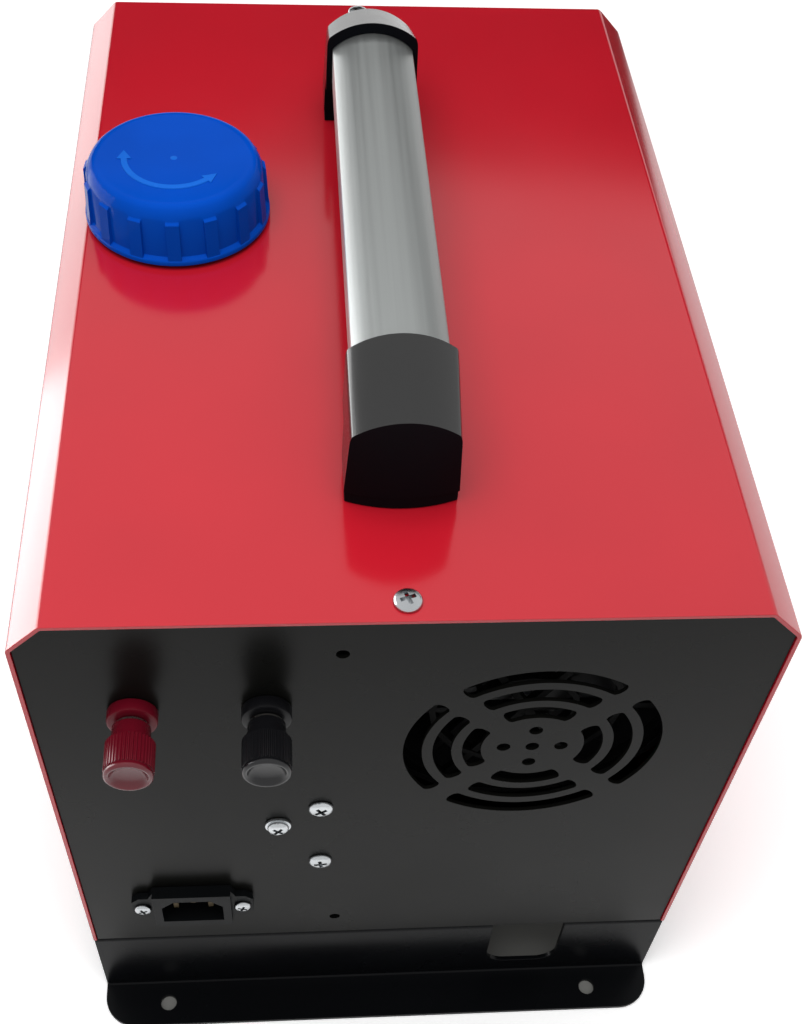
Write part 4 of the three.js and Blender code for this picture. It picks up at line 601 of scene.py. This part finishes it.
def lipped_panel(name, y_face, y_back, lip_to):
    """An end panel with its top edge folded inwards under the cover."""
    plate = slab(end_outline(INSET, PANEL_LOW.z), "XZ", sorted((y_face, y_back)))
    lip_half = COVER_HIGH.x - CHAMFER - INSET
    top = COVER_HIGH.z - INSET
    lip = block(about(0, lip_half), sorted((y_face, lip_to)), (top - SHEET, top))
    return join(thing(name, plate), lip)


def foot_piece(name, side):
    """A folded foot: a flange on the ground, an upright band and a tab under the floor."""
    face = side * REAR_FACE
    thick, high, reach, tab = 2 * MM, 50 * MM, 20 * MM, 22 * MM
    outer_fold, inner_fold, corner = 3 * MM, 1 * MM, 14 * MM
    section = [
        (face + side * reach, 0), (face - side * thick, 0), (face - side * thick, high - thick),
        (face - side * tab, high - thick), (face - side * tab, high), (face, high), (face, thick),
        (face + side * reach, thick),
    ]
    folds = {1: outer_fold, 2: inner_fold, 5: outer_fold, 6: inner_fold}
    mesh = slab(section, "YZ", about(0, COVER_HIGH.x), folds)
    corners = [
        edge for edge in mesh.edges
        if all(abs(v.co.y - face - side * reach) < TOUCH for v in edge.verts)
        and abs(edge.verts[0].co.z - edge.verts[1].co.z) > MM
    ]
    rounded(mesh, corners, corner, 12)
    notch = slab(
        rectangle((48.25 * MM, 79.75 * MM), (12 * MM, 60 * MM)), "XZ",
        sorted((face + side * 5 * MM, face - side * 26 * MM)), {0: 9 * MM, 1: 9 * MM}, 10,
    )
    bolt_y = face + side * 10 * MM
    holes = [rod(3.5 * MM, (-2 * MM, 4 * MM), "+Z", (x * MM, bolt_y, 0), 40) for x in (-95.5, 95.5)]
    return cut(thing(name, mesh), notch, *holes)


class HEATER_OT_casing(bpy.types.Operator):
    """Folds the cover, the end panels and the feet"""

    bl_idname = "heater.casing"
    bl_label = "Casing"

    def execute(self, context):
        sizes = context.scene.heater_sizes
        self.cover(sizes)
        self.front(sizes)
        self.rear(sizes)
        for end, side in ENDS:
            foot = foot_piece(f"foot_{end}", side)
            # The feet take the darker copy of the black paint: painted shade.
            dress(foot, "black_steel", (f"{end}_foot",), coat="foot_coat_painted_shade", edge=sizes.edge)
        softened("base_floor", "floor_pan", "black_steel", 0.3 * MM)
        return {"FINISHED"}

    def cover(self, sizes):
        outer, inner = (end_outline(inset, COVER_LOW.z) for inset in (0, SHEET))
        section = [*outer[1:], outer[0], inner[0], *reversed(inner[1:])]
        folds = dict.fromkeys((1, 2, 3, 4), sizes.fold) | dict.fromkeys((7, 8, 9, 10), sizes.fold - SHEET)
        mesh = slab(section, "XZ", (COVER_LOW.y, COVER_HIGH.y), folds)
        through = (COVER_HIGH.z - 5 * MM, COVER_HIGH.z + 2 * MM)
        neck = rod(26.5 * MM, through, place=(CAP_X, CAP_Y, 0), sides=96)
        holes = [rod(2.4 * MM, through, place=(SCREW_X, y, 0), sides=24) for y in SCREW_ENDS]
        piece = cut(thing("cover_sheet", mesh), neck, *holes)
        dress(piece, "red_cover", ("cover",), edge=sizes.edge)

    def front(self, sizes):
        piece = lipped_panel("panel_front", PANEL_LOW.y, PANEL_LOW.y + SHEET, PANEL_HIGH.y)
        low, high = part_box("inlet_body")
        inlet = (low + high) / 2
        depth = (PANEL_LOW.y - MM, PANEL_LOW.y + 3 * MM)
        opening = block(about(inlet.x, 14.3 * MM), depth, about(inlet.z, 11.3 * MM))
        holes = [panel_hole(x * MM, z * MM, radius * MM) for x, z, radius in PANEL_HOLES]
        cut(piece, opening, *holes, *grille_cutters(sizes))
        dress(piece, "black_steel", ("front_panel",), edge=sizes.edge)

    def rear(self, sizes):
        piece = lipped_panel("panel_rear", REAR_FACE, REAR_FACE - SHEET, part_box("rear_panel")[0].y)
        outlet = rod(38.3 * MM, (-6 * MM, 3 * MM), "+Y", (GRILLE.x, REAR_FACE, GRILLE.z), 96)
        low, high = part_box("controller_housing")
        rim = 2.7 * MM
        controller = block(
            (low.x + rim, high.x - rim), (REAR_FACE - 4 * MM, REAR_FACE + 2 * MM), (low.z + rim, high.z - rim)
        )
        cut(piece, outlet, controller)
        dress(piece, "black_steel", ("rear_panel",), edge=sizes.edge)


# ---- handle


def leg_piece(end, side):
    """A leg of the handle, an arched hood that slopes down outwards with a bowed outer face, and its pad."""
    low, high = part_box(f"handle_leg_{end}")
    base, pad = low.z, 5 * MM
    outer = low.y if side < 0 else high.y
    inner = outer - side * 29.2 * MM
    rim = COVER_HIGH.z + 48.1 * MM
    drop = 9.8 * MM
    wide, crown = 36 * MM, 1.1 * MM
    foot_share, face_share, inner_share = 1.036, 0.956, 0.99  # of that width
    mesh = arched(wide, base + pad, rim, 6.9 * MM, sorted((outer, inner)))
    for vert in mesh.verts:
        at_face, at_foot = abs(vert.co.y - outer) < TOUCH, vert.co.z < base + pad + MM
        aside = vert.co.x - HANDLE_X
        if at_face and not at_foot:
            vert.co.z -= drop + crown * (2 * aside / wide) ** 2
        vert.co.x = HANDLE_X + aside * (foot_share if at_foot else face_share if at_face else inner_share)
    shoulders = [
        edge for edge in mesh.edges
        if abs(edge.verts[0].co.y - edge.verts[1].co.y) > MM
        and all(abs(v.co.x - HANDLE_X) > 17 * MM and v.co.z > base + pad + MM for v in edge.verts)
    ]
    rounded(mesh, shoulders, 3 * MM)
    bow, top_bow = 49.35 * MM, 130 * MM
    bow_middle = (HANDLE_X, outer - side * bow, 0)
    round_front = rod(bow, (base, rim), place=bow_middle, sides=256, far_radius=top_bow)
    upper = [v for v in round_front.verts if v.co.z > base + MM]
    bmesh.ops.translate(round_front, vec=(0, side * (bow - top_bow), 0), verts=upper)
    piece = keep(thing(f"leg_{end}", mesh), round_front)
    socket_floor = TUBE_LOW.z - 3 * MM
    depth = sorted((outer - side * 20 * MM, inner - side * MM))
    under = block(about(HANDLE_X, 19 * MM), depth, (base - MM, socket_floor))
    depth = sorted((inner + side * 8 * MM, inner - side * MM))
    socket = arched(32.2 * MM, TUBE_LOW.z - GAP, TUBE_HIGH.z + GAP, 6.9 * MM, depth)
    cut(piece, under, socket)
    depth = sorted((outer + side * MM, outer - side * 19.6 * MM))
    sole = thing(f"leg_{end}_pad", block(about(HANDLE_X, 18.4 * MM), depth, (base, base + pad - 0.05 * MM)))
    return piece, keep(sole, rod(bow - GAP, (base - MM, rim), place=bow_middle, sides=256))


class HEATER_OT_handle(bpy.types.Operator):
    """Shapes the handle's tube, its two legs and their rubber pads"""

    bl_idname = "heater.handle"
    bl_label = "Handle"

    def execute(self, context):
        span = (TUBE_LOW.y, TUBE_HIGH.y)
        wide, wall = TUBE_HIGH.x - TUBE_LOW.x, 1.8 * MM
        tube = thing("handle_bar", arched(wide, TUBE_LOW.z, TUBE_HIGH.z, 6.8 * MM, span, 48))
        past = (span[0] - MM, span[1] + MM)
        cut(tube, arched(wide - 2 * wall, TUBE_LOW.z + wall, TUBE_HIGH.z - wall, 6.1 * MM, past, 48))
        dress(tube, "satin_tube", ("handle_tube",), edge=1.3 * MM, segments=4)
        for end, side in ENDS:
            leg, pad = leg_piece(end, side)
            dress(leg, "black_plastic", (f"handle_leg_{end}",), coat="leg_plastic", edge=0.6 * MM, segments=3)
            # The faces that look along Y, the bowed outer face and the inner face, take the darker copy:
            # painted shade.
            leg.data.materials.append(finish("leg_painted_shade"))
            for face in leg.data.polygons:
                face.material_index = 1 if abs(face.normal.y) > 0.8 else 0
            # The pad takes the darker copy too: a real rubber pad, coloured with painted contact shade.
            dress(pad, "seal_rubber", coat="leg_painted_shade", edge=0.3 * MM)
        return {"FINISHED"}


# ---- filler


def cap_arrow(top):
    """A raised curved arrow with a head at each end, and a gate mark, lying on the cap."""
    radius, height, root = 18.4 * MM, 0.35 * MM, -0.2 * MM
    start, end = math.radians(183), math.radians(312)
    band = bmesh.new()
    low, high = about(radius, 1.3 * MM), about(radius, 1.1 * MM)
    section = [(low[0], root), (low[1], root), (high[1], height), (high[0], height)]
    verts = [band.verts.new((r, 0, z)) for r, z in section]
    face = band.faces.new(verts)
    swept(band, [face, *face.edges, *verts], (0, 0, 1), end - start, 40)
    arrow = thing("cap_arrow", rotated(outward(band), start))
    heads = []
    for angle, way in ((start, -1), (end, 1)):
        left, right = about(radius, 2.7 * MM)
        head = slab([(left, 0), (right, 0), (radius, way * 5.2 * MM)], "XY", (root, height))
        heads.append(rotated(head, angle))
    gate = turned(points(0, (0, 0.25), (0.7, 0.25), (1.3, 0), (1.3, -0.2), (0, -0.2)), steps=32)
    join(arrow, *heads, gate)
    arrow.data.transform(Matrix.Translation((CAP_X, CAP_Y, top)))
    return arrow


def filler_thread(place):
    """The round outside of the filler neck, with the thread that the cap turns on."""
    foot, top = COVER_HIGH.z - 6 * MM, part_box("cap_seal")[0].z - 0.2 * MM
    neck, bore, crest = 24.1, 20.7, 24.45  # millimetres
    lead_in = points(top, (neck, -0.6), (neck - 0.6, 0), (bore + 0.5, 0), (bore, -0.5))
    sleeve = turned([*points(foot, (bore, 0), (neck, 0)), *lead_in], place=place, steps=120)
    pitch, turns, steps = 4 * MM, 2.25, 96
    ridge = bmesh.new()
    section = points(top - 12 * MM, (neck - 0.2, 0), (crest, 0.5), (crest, 1.1), (neck - 0.2, 1.6))
    verts = [ridge.verts.new((radius, 0, height)) for radius, height in section]
    edges = [ridge.edges.new(pair) for pair in zip(verts, verts[1:] + verts[:1])]
    swept(ridge, verts + edges, (0, 0, 1), turns * 2 * math.pi, int(turns * steps), climb=pitch / steps)
    bmesh.ops.holes_fill(ridge, edges=[edge for edge in ridge.edges if edge.is_boundary], sides=0)
    return join(thing("filler_neck_thread", sleeve), moved(outward(ridge), place))


class HEATER_OT_filler(bpy.types.Operator):
    """Moulds the filler cap, its arrow, the grommet below it and the neck's thread"""

    bl_idname = "heater.filler"
    bl_label = "Filler cap"

    def execute(self, context):
        sizes = context.scene.heater_sizes
        low, top = CAP_LOW.z, CAP_HIGH.z
        wide, narrow, inside, ledge = 35.2, 33, 24.6, -4.9  # millimetres
        place = (CAP_X, CAP_Y, 0)
        profile = points(
            top, (0, -0.35), (24, -0.3), (27.6, -0.05), (29, 0), (30.2, -0.35), (31.2, -1.2), (31.9, -2.4),
            (32.5, -3.4), (narrow, ledge),
        ) + points(
            low, (narrow + 0.5, 3.4), (wide - 0.7, 2.6), (wide - 0.15, 2.2), (wide, 1.8), (wide, 0.6),
            (wide - 0.6, 0), (inside, 0),
        ) + points(top, (inside, -2.4), (0, -2.4))
        cap = thing("cap_moulding", turned(profile, place=place, steps=150))
        crest = narrow + sizes.rib_rise / MM
        outline = [
            *points(top, (narrow - 2, ledge)), *points(low, (narrow - 2, 2), (wide - 0.35, 2)),
            *points(top, (crest, ledge - 0.9), (narrow, ledge)),
        ]
        first = 0.11  # radians
        turns = [2 * math.pi * index / sizes.ribs + first for index in range(sizes.ribs)]
        width = about(0, sizes.rib_width / 2)
        join(cap, *(moved(rotated(slab(outline, "XZ", width), turn), place) for turn in turns))
        dress(cap, "blue_plastic", ("filler_cap",), "cap", edge=0.35 * MM)
        # The arrow takes the lighter blue: painted highlight.
        dress(cap_arrow(top - 0.33 * MM), "blue_plastic", body="cap", coat="arrow_painted_highlight", edge=0.12 * MM)
        dress(self.grommet(place), "seal_rubber", ("neck_gasket",))
        dress(filler_thread(place), "tank_plastic")
        return {"FINISHED"}

    def grommet(self, place):
        """The rubber ring round the neck, grooved for the edge of the cover's hole."""
        low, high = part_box("neck_gasket")
        profile = [
            *points(low.z, (24.3, 0), (28.1, 0), (28.5, 0.3)),
            *points(COVER_HIGH.z, (26.2, -1.7), (26.2, 0.3), (28.5, 0.3)),
            *points(high.z, (28.5, -0.3), (28.1, 0), (24.3, 0)),
        ]
        return thing("neck_grommet", turned(profile, place=place, steps=120))


# ---- binding posts


def knob_piece(name, place, long, sizes):
    """A knurled knob: a neck, a cone that flares out, a knurled barrel and a dished end."""
    neck, barrel = 6.3, 8.1  # millimetres
    profile = points(
        0, (0, 0), (neck - 0.3, 0), (neck, 0.3), (neck, 3.3), (barrel - 0.5, 6.4)
    ) + points(
        long, (barrel - 0.5, -2.2), (barrel - 0.15, -1.6), (barrel - 0.3, -0.5), (barrel - 0.9, 0),
        (6.6, -0.05), (6.1, -0.5), (5.6, -1.5), (4.2, -2.1), (2.2, -2.4), (0, -2.5),
    )
    piece = thing(name, turned(profile, "-Y", place, 120))
    sides, groove = 4 * sizes.knurls, 0.945  # the groove as a share of the radius
    start, end = 6.2 * MM, long - 2.4 * MM
    knurl = rod(barrel * MM, about(0, (end - start) / 2), sides=sides)
    step = 2 * math.pi / sides
    hollows = [v for v in knurl.verts if round(math.atan2(v.co.y, v.co.x) / step) % 4 in (0, 1)]
    bmesh.ops.scale(knurl, vec=(groove, groove, 1), verts=hollows)
    stand(moved(knurl, (0, 0, (start + end) / 2)), "-Y", place)
    return cut(join(piece, knurl), rod(STUD_BORE * MM, (-1 * MM, long - 3.2 * MM), "-Y", place, 40))


class HEATER_OT_posts(bpy.types.Operator):
    """Turns the red and the black binding posts"""

    bl_idname = "heater.posts"
    bl_label = "Binding posts"

    def execute(self, context):
        sizes = context.scene.heater_sizes
        for name, slot in (("red", "red_plastic"), ("black", "post_black")):
            low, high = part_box(f"{name}_post_knob")
            x, _, z = (low + high) / 2
            knob = knob_piece(f"{name}_knob_turned", (x, high.y, z), high.y - low.y, sizes)
            dress(knob, slot, (f"{name}_post_knob",), f"{name}_knob", edge=0.08 * MM, segments=1, angle=50)
            self.collar(name, x, z, slot)
            self.washer(name, x, z)
        return {"FINISHED"}

    def collar(self, name, x, z, slot):
        low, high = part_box(f"{name}_post_collar")
        seat = PANEL_LOW.y - GAP
        thick = seat - low.y
        profile = [
            *points(thick, (STUD_BORE, -0.6), (4.6, -0.6), (4.9, 0), (7.5, 0), (8.1, -0.3), (8.3, -0.9)),
            *points(0, (8.3, 0.3), (8.1, 0), (5, 0)), *points(seat - high.y, (5, 0), (STUD_BORE, 0)),
        ]
        piece = thing(f"{name}_collar_turned", turned(profile, "-Y", (x, seat, z)))
        dress(piece, slot, (f"{name}_post_collar",), coat=f"{name}_collar")

    def washer(self, name, x, z):
        low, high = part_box(f"{name}_post_washer")
        profile = [
            *points(0, (STUD_BORE, 0), (5.2, 0), (5.4, 0.2)),
            *points(high.y - low.y, (5.4, -0.2), (5.2, 0), (STUD_BORE, 0)),
        ]
        piece = thing(f"{name}_washer_turned", turned(profile, "-Y", (x, high.y, z), 72))
        dress(piece, "post_metal", (f"{name}_post_washer",), f"{name}_washer")


# ---- inlet, screws, controller, outlet


def pan_screw(name, head, rise, shank, long, axis, place, turn, washer=None):
    """A pan-head screw with a cross recess, sized in millimetres. Its head points along the axis."""
    ring = [(washer, 0), (washer, 0.1), (washer - 0.1, 0.9)] if washer else []
    seat = 1 if washer else 0
    top = seat + rise
    profile = points(
        0, (0, -long), (shank, -long), (shank, 0), *ring, (head, seat), (head, seat + rise * 0.28),
        (head * 0.93, seat + rise * 0.62), (head * 0.76, seat + rise * 0.86),
        (head * 0.5, seat + rise * 0.97), (0, top),
    )
    piece = thing(name, turned(profile, steps=56))
    recess = ((top - rise * 1.1) * MM, (top + 1) * MM)
    arm, half = about(0, head * 0.56 * MM), about(0, head * 0.15 * MM)
    cut(piece, block(arm, half, recess), block(half, arm, recess))
    shape = bmesh.new()
    shape.from_mesh(piece.data)
    stand(rotated(shape, math.radians(turn)), axis, place)
    shape.to_mesh(piece.data)
    shape.free()
    return piece


class HEATER_OT_screws(bpy.types.Operator):
    """Makes every visible screw with its cross recess"""

    bl_idname = "heater.screws"
    bl_label = "Screws"

    def execute(self, context):
        face = (PANEL_LOW.y - GAP) / MM
        flange = face - 3.3
        top = (COVER_HIGH.z + GAP) / MM
        x, front, rear = SCREW_X / MM, SCREW_ENDS[0] / MM, SCREW_ENDS[1] / MM
        rows = (  # lengths in millimetres, turns of the recesses in degrees
            ("cover_screw_front", 4.6, 1.9, 2, 9, "+Z", (x, front, top), 20, None),
            ("cover_screw_rear", 4.6, 1.9, 2, 9, "+Z", (x, rear, top), 65, None),
            ("pump_screw_upper", 4.5, 2, 1.8, 9, "-Y", (-27.5, face, 157.5), 35, None),
            ("pump_screw_lower", 4.5, 2, 1.8, 9, "-Y", (-27.5, face, 116.5), 8, None),
            ("earth_bolt", 4, 2.2, 1.8, 7.5, "-Y", (-43.4, face, 146), 50, 4.9),
            ("inlet_screw_left", 3.4, 1.6, 1.5, 9, "-Y", (-99, flange, 85.3), 25, None),
            ("inlet_screw_right", 3.4, 1.6, 1.5, 9, "-Y", (-59, flange, 85.3), 70, None),
        )
        for node, head, rise, shank, long, axis, place, turn, washer in rows:
            name = node.replace("screw", "pan").replace("bolt", "pan")
            piece = pan_screw(name, head, rise, shank, long, axis, Vector(place) * MM, turn, washer)
            dress(piece, "zinc_screw", (node,))
        return {"FINISHED"}


class HEATER_OT_electrics(bpy.types.Operator):
    """Rounds the mains inlet and the controller, and turns the buttons"""

    bl_idname = "heater.electrics"
    bl_label = "Inlet and controller"

    def execute(self, context):
        softened("inlet_body", "inlet_moulding", "black_plastic", 0.5 * MM, "inlet_plastic")
        softened("controller_housing", "controller_case", "black_plastic", 0.7 * MM)
        softened("controller_window", "controller_glass", "window_tint", 0.3 * MM)
        for name in ("power", "up", "down"):
            low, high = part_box(f"{name}_button")
            slot = "button_red" if name == "power" else "black_plastic"
            profile = points(0, (0, 0), (4.6, 0)) + points(
                high.y - low.y, (4.6, -0.9), (4.3, -0.3), (3.7, 0), (2.6, -0.05), (0, -0.4)
            )
            x, _, z = (low + high) / 2
            cap = turned(profile, "+Y", (x, low.y, z), 64)
            dress(thing(f"{name}_key", cap), slot, (f"{name}_button",), f"{name}_button")
        return {"FINISHED"}


class HEATER_OT_outlet(bpy.types.Operator):
    """Moulds the hot-air outlet and draws the exhaust and intake pipes"""

    bl_idname = "heater.outlet"
    bl_label = "Outlet and pipes"

    def execute(self, context):
        low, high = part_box("outlet_grille")
        flange = REAR_FACE + GAP
        bore, collar, rim = 35.5, 38, 47  # millimetres
        profile = [
            *points(low.y, (bore, 0), (collar, 0)),
            *points(flange, (collar, 0), (rim, 0), (rim, 2.2), (rim - 0.8, 3), (collar + 1, 3), (collar, 4)),
            *points(high.y, (collar, -3.5), (collar, -0.5), (collar - 0.5, 0), (bore, 0)),
        ]
        grille = thing("outlet_moulding", turned(profile, "+Y", (GRILLE.x, 0, GRILLE.z), 128))
        deep = (flange, flange + 6 * MM)
        asides = [bar * bore / 3 for bar in (-2, -1, 0, 1, 2)]
        longs = [math.sqrt(bore ** 2 - aside ** 2) + 1 for aside in asides]
        join(grille, *(
            block(about(GRILLE.x + aside * MM, 1.2 * MM), deep, about(GRILLE.z, long * MM))
            for aside, long in zip(asides, longs)
        ))
        dress(grille, "black_plastic", ("outlet_grille",), edge=0.3 * MM)
        for kind, slot in (("exhaust", "pipe_steel"), ("air", "pipe_plastic")):
            low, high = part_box(f"{kind}_pipe")
            profile = points(low.z, (10.5, 0.3), (10.8, 0), (11.7, 0), (12, 0.3))
            profile += points(high.z, (12, 0), (10.5, 0))
            x, y, _ = (low + high) / 2
            wall = turned(profile, place=(x, y, 0), steps=72)
            dress(thing(f"{kind}_tail", wall), slot, (f"{kind}_pipe",))
        return {"FINISHED"}


class HEATER_OT_inside(bpy.types.Operator):
    """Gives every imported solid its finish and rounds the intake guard"""

    bl_idname = "heater.inside"
    bl_label = "Inside"

    def execute(self, context):
        slots = {row["node"]: row["material_slot"] for row in frame["record"]["subparts"]}
        for name, node in frame["nodes"].items():
            node.data.materials.clear()
            node.data.materials.append(finish(slots[name]))
        # The guard takes the darker copy: painted shade behind the grille.
        softened("intake_guard", "intake_guard_moulded", "black_plastic", 0.3 * MM, "guard_painted_shade")
        return {"FINISHED"}


# ---- stage


def lamp(name, place, aim, size, watts, reflected):
    """A soft rectangular lamp that either lights the heater or is seen in its reflections."""
    light = bpy.data.lights.new(name, "AREA")
    light.shape = "RECTANGLE"
    light.size, light.size_y = size
    light.energy = watts
    made = added(name, light)
    made.location = place
    made.rotation_euler = (Vector(aim) - Vector(place)).to_track_quat("-Z", "Y").to_euler()
    made.visible_camera = False
    made.visible_diffuse = not reflected
    made.visible_glossy = reflected


def flag(name, across, up):
    """A dark card behind the heater that is only seen in reflections."""
    card = thing(name, slab(rectangle(across, up), "XZ", (FLAG_DISTANCE, FLAG_DISTANCE + 2 * MM)))
    card.data.materials.append(Finish("flag_cloth", (0.01, 0.01, 0.01), 1, 0.0, 0.0).material)
    card.visible_camera = card.visible_diffuse = card.visible_shadow = False


def shown(tree):
    """One on the rays that show a surface to the camera, straight or in a reflection, nought on the rest."""
    path = tree.nodes.new("ShaderNodeLightPath")
    total = path.outputs["Is Camera Ray"]
    for ray in ("Is Glossy Ray", "Is Transmission Ray"):
        largest = tree.nodes.new("ShaderNodeMath")
        largest.operation = "MAXIMUM"
        tree.links.new(total, largest.inputs[0])
        tree.links.new(path.outputs[ray], largest.inputs[1])
        total = largest.outputs[0]
    return total


class HEATER_OT_stage(bpy.types.Operator):
    """Sets the floor, the lamps and the camera"""

    bl_idname = "heater.stage"
    bl_label = "Stage"

    def execute(self, context):
        stage = context.scene.heater_stage
        self.floor(stage)
        self.sky(stage)
        for settings in LAMPS:
            lamp(*settings)
        for settings in FLAGS:
            flag(*settings)
        self.camera(stage)
        context.scene.view_settings.view_transform = "Standard"
        return {"FINISHED"}

    def floor(self, stage):
        mesh = bmesh.new()
        bmesh.ops.create_grid(mesh, x_segments=1, y_segments=1, size=30)
        ground = thing("floor", mesh)
        paper = bpy.data.materials.new("floor_paper")
        paper.use_nodes = True
        tree = paper.node_tree
        matt = tree.nodes.new("ShaderNodeBsdfDiffuse")
        white = blended(tree, shown(tree), stage.floor, stage.floor_shown)
        tree.links.new(white.outputs["Result"], matt.inputs["Color"])
        tree.links.new(matt.outputs["BSDF"], tree.nodes["Material Output"].inputs["Surface"])
        ground.data.materials.append(paper)
        # The grey cards under the front foot are painted shade on the floor.
        shaded = Finish("shaded_paper", (0.2, 0.2, 0.19), 1, 0.0, 0.0).material
        for name, across, along in MATS:
            across = [side * MM for side in across]
            along = [PANEL_LOW.y + end * MM for end in along]
            mat = thing(name, block(across, along, (-MM, 0.2 * MM)))
            mat.data.materials.append(shaded)

    def sky(self, stage):
        world = bpy.data.worlds.new("studio")
        bpy.context.scene.world = world
        world.use_nodes = True
        tree = world.node_tree
        tree.nodes["Background"].inputs["Color"].default_value = (1, 1, 1, 1)
        height = tree.nodes.new("ShaderNodeSeparateXYZ")
        tree.links.new(tree.nodes.new("ShaderNodeTexCoord").outputs["Generated"], height.inputs[0])
        light = blended(tree, height.outputs["Z"], stage.sky_low, stage.sky_high)
        strength = blended(tree, shown(tree), 0, 1)
        tree.links.new(light.outputs["Result"], strength.inputs["To Min"])
        tree.links.new(strength.outputs["Result"], tree.nodes["Background"].inputs["Strength"])

    def camera(self, stage):
        """The photographed view, from above the grille's end."""
        lens = bpy.data.cameras.new("camera")
        lens.sensor_width = 36  # millimetres
        lens.lens = stage.lens / MM
        lens.shift_x, lens.shift_y = FRAME_SHIFT
        lens.clip_start = 10 * MM
        view = added("camera", lens)
        turn = Matrix.Identity(3)
        for degrees, axis in CAMERA_TURNS:
            turn = turn @ Matrix.Rotation(math.radians(degrees), 3, axis)
        view.matrix_world = Matrix.Translation(CAMERA_PLACE) @ turn.to_4x4()
        bpy.context.scene.camera = view


class HEATER_PT_panel(bpy.types.Panel):
    """Lists the heater's settings and makers"""

    bl_label = "Heater"
    bl_idname = "HEATER_PT_panel"
    bl_space_type = "VIEW_3D"
    bl_region_type = "UI"
    bl_category = "Heater"

    def draw(self, context):
        for group in GROUPS:
            settings = getattr(context.scene, group)
            for name in settings.__annotations__:
                self.layout.prop(settings, name)
        for maker in MAKERS:
            self.layout.operator(maker.bl_idname)


MAKERS = (
    HEATER_OT_stage, HEATER_OT_inside, HEATER_OT_casing, HEATER_OT_handle, HEATER_OT_filler, HEATER_OT_posts,
    HEATER_OT_screws, HEATER_OT_electrics, HEATER_OT_outlet,
)
GROUPS = {"heater_colours": HeaterColours, "heater_sizes": HeaterSizes, "heater_stage": HeaterStage}
CLASSES = (*GROUPS.values(), *MAKERS, HEATER_PT_panel)


def register():
    for item in CLASSES:
        bpy.utils.register_class(item)
    for name, group in GROUPS.items():
        setattr(bpy.types.Scene, name, PointerProperty(type=group))


def unregister():
    for name in GROUPS:
        delattr(bpy.types.Scene, name)
    for item in reversed(CLASSES):
        bpy.utils.unregister_class(item)


def main():
    register()
    for maker in MAKERS:
        family, name = maker.bl_idname.split(".")
        getattr(getattr(bpy.ops, family), name)()


if __name__ == "__main__":
    main()
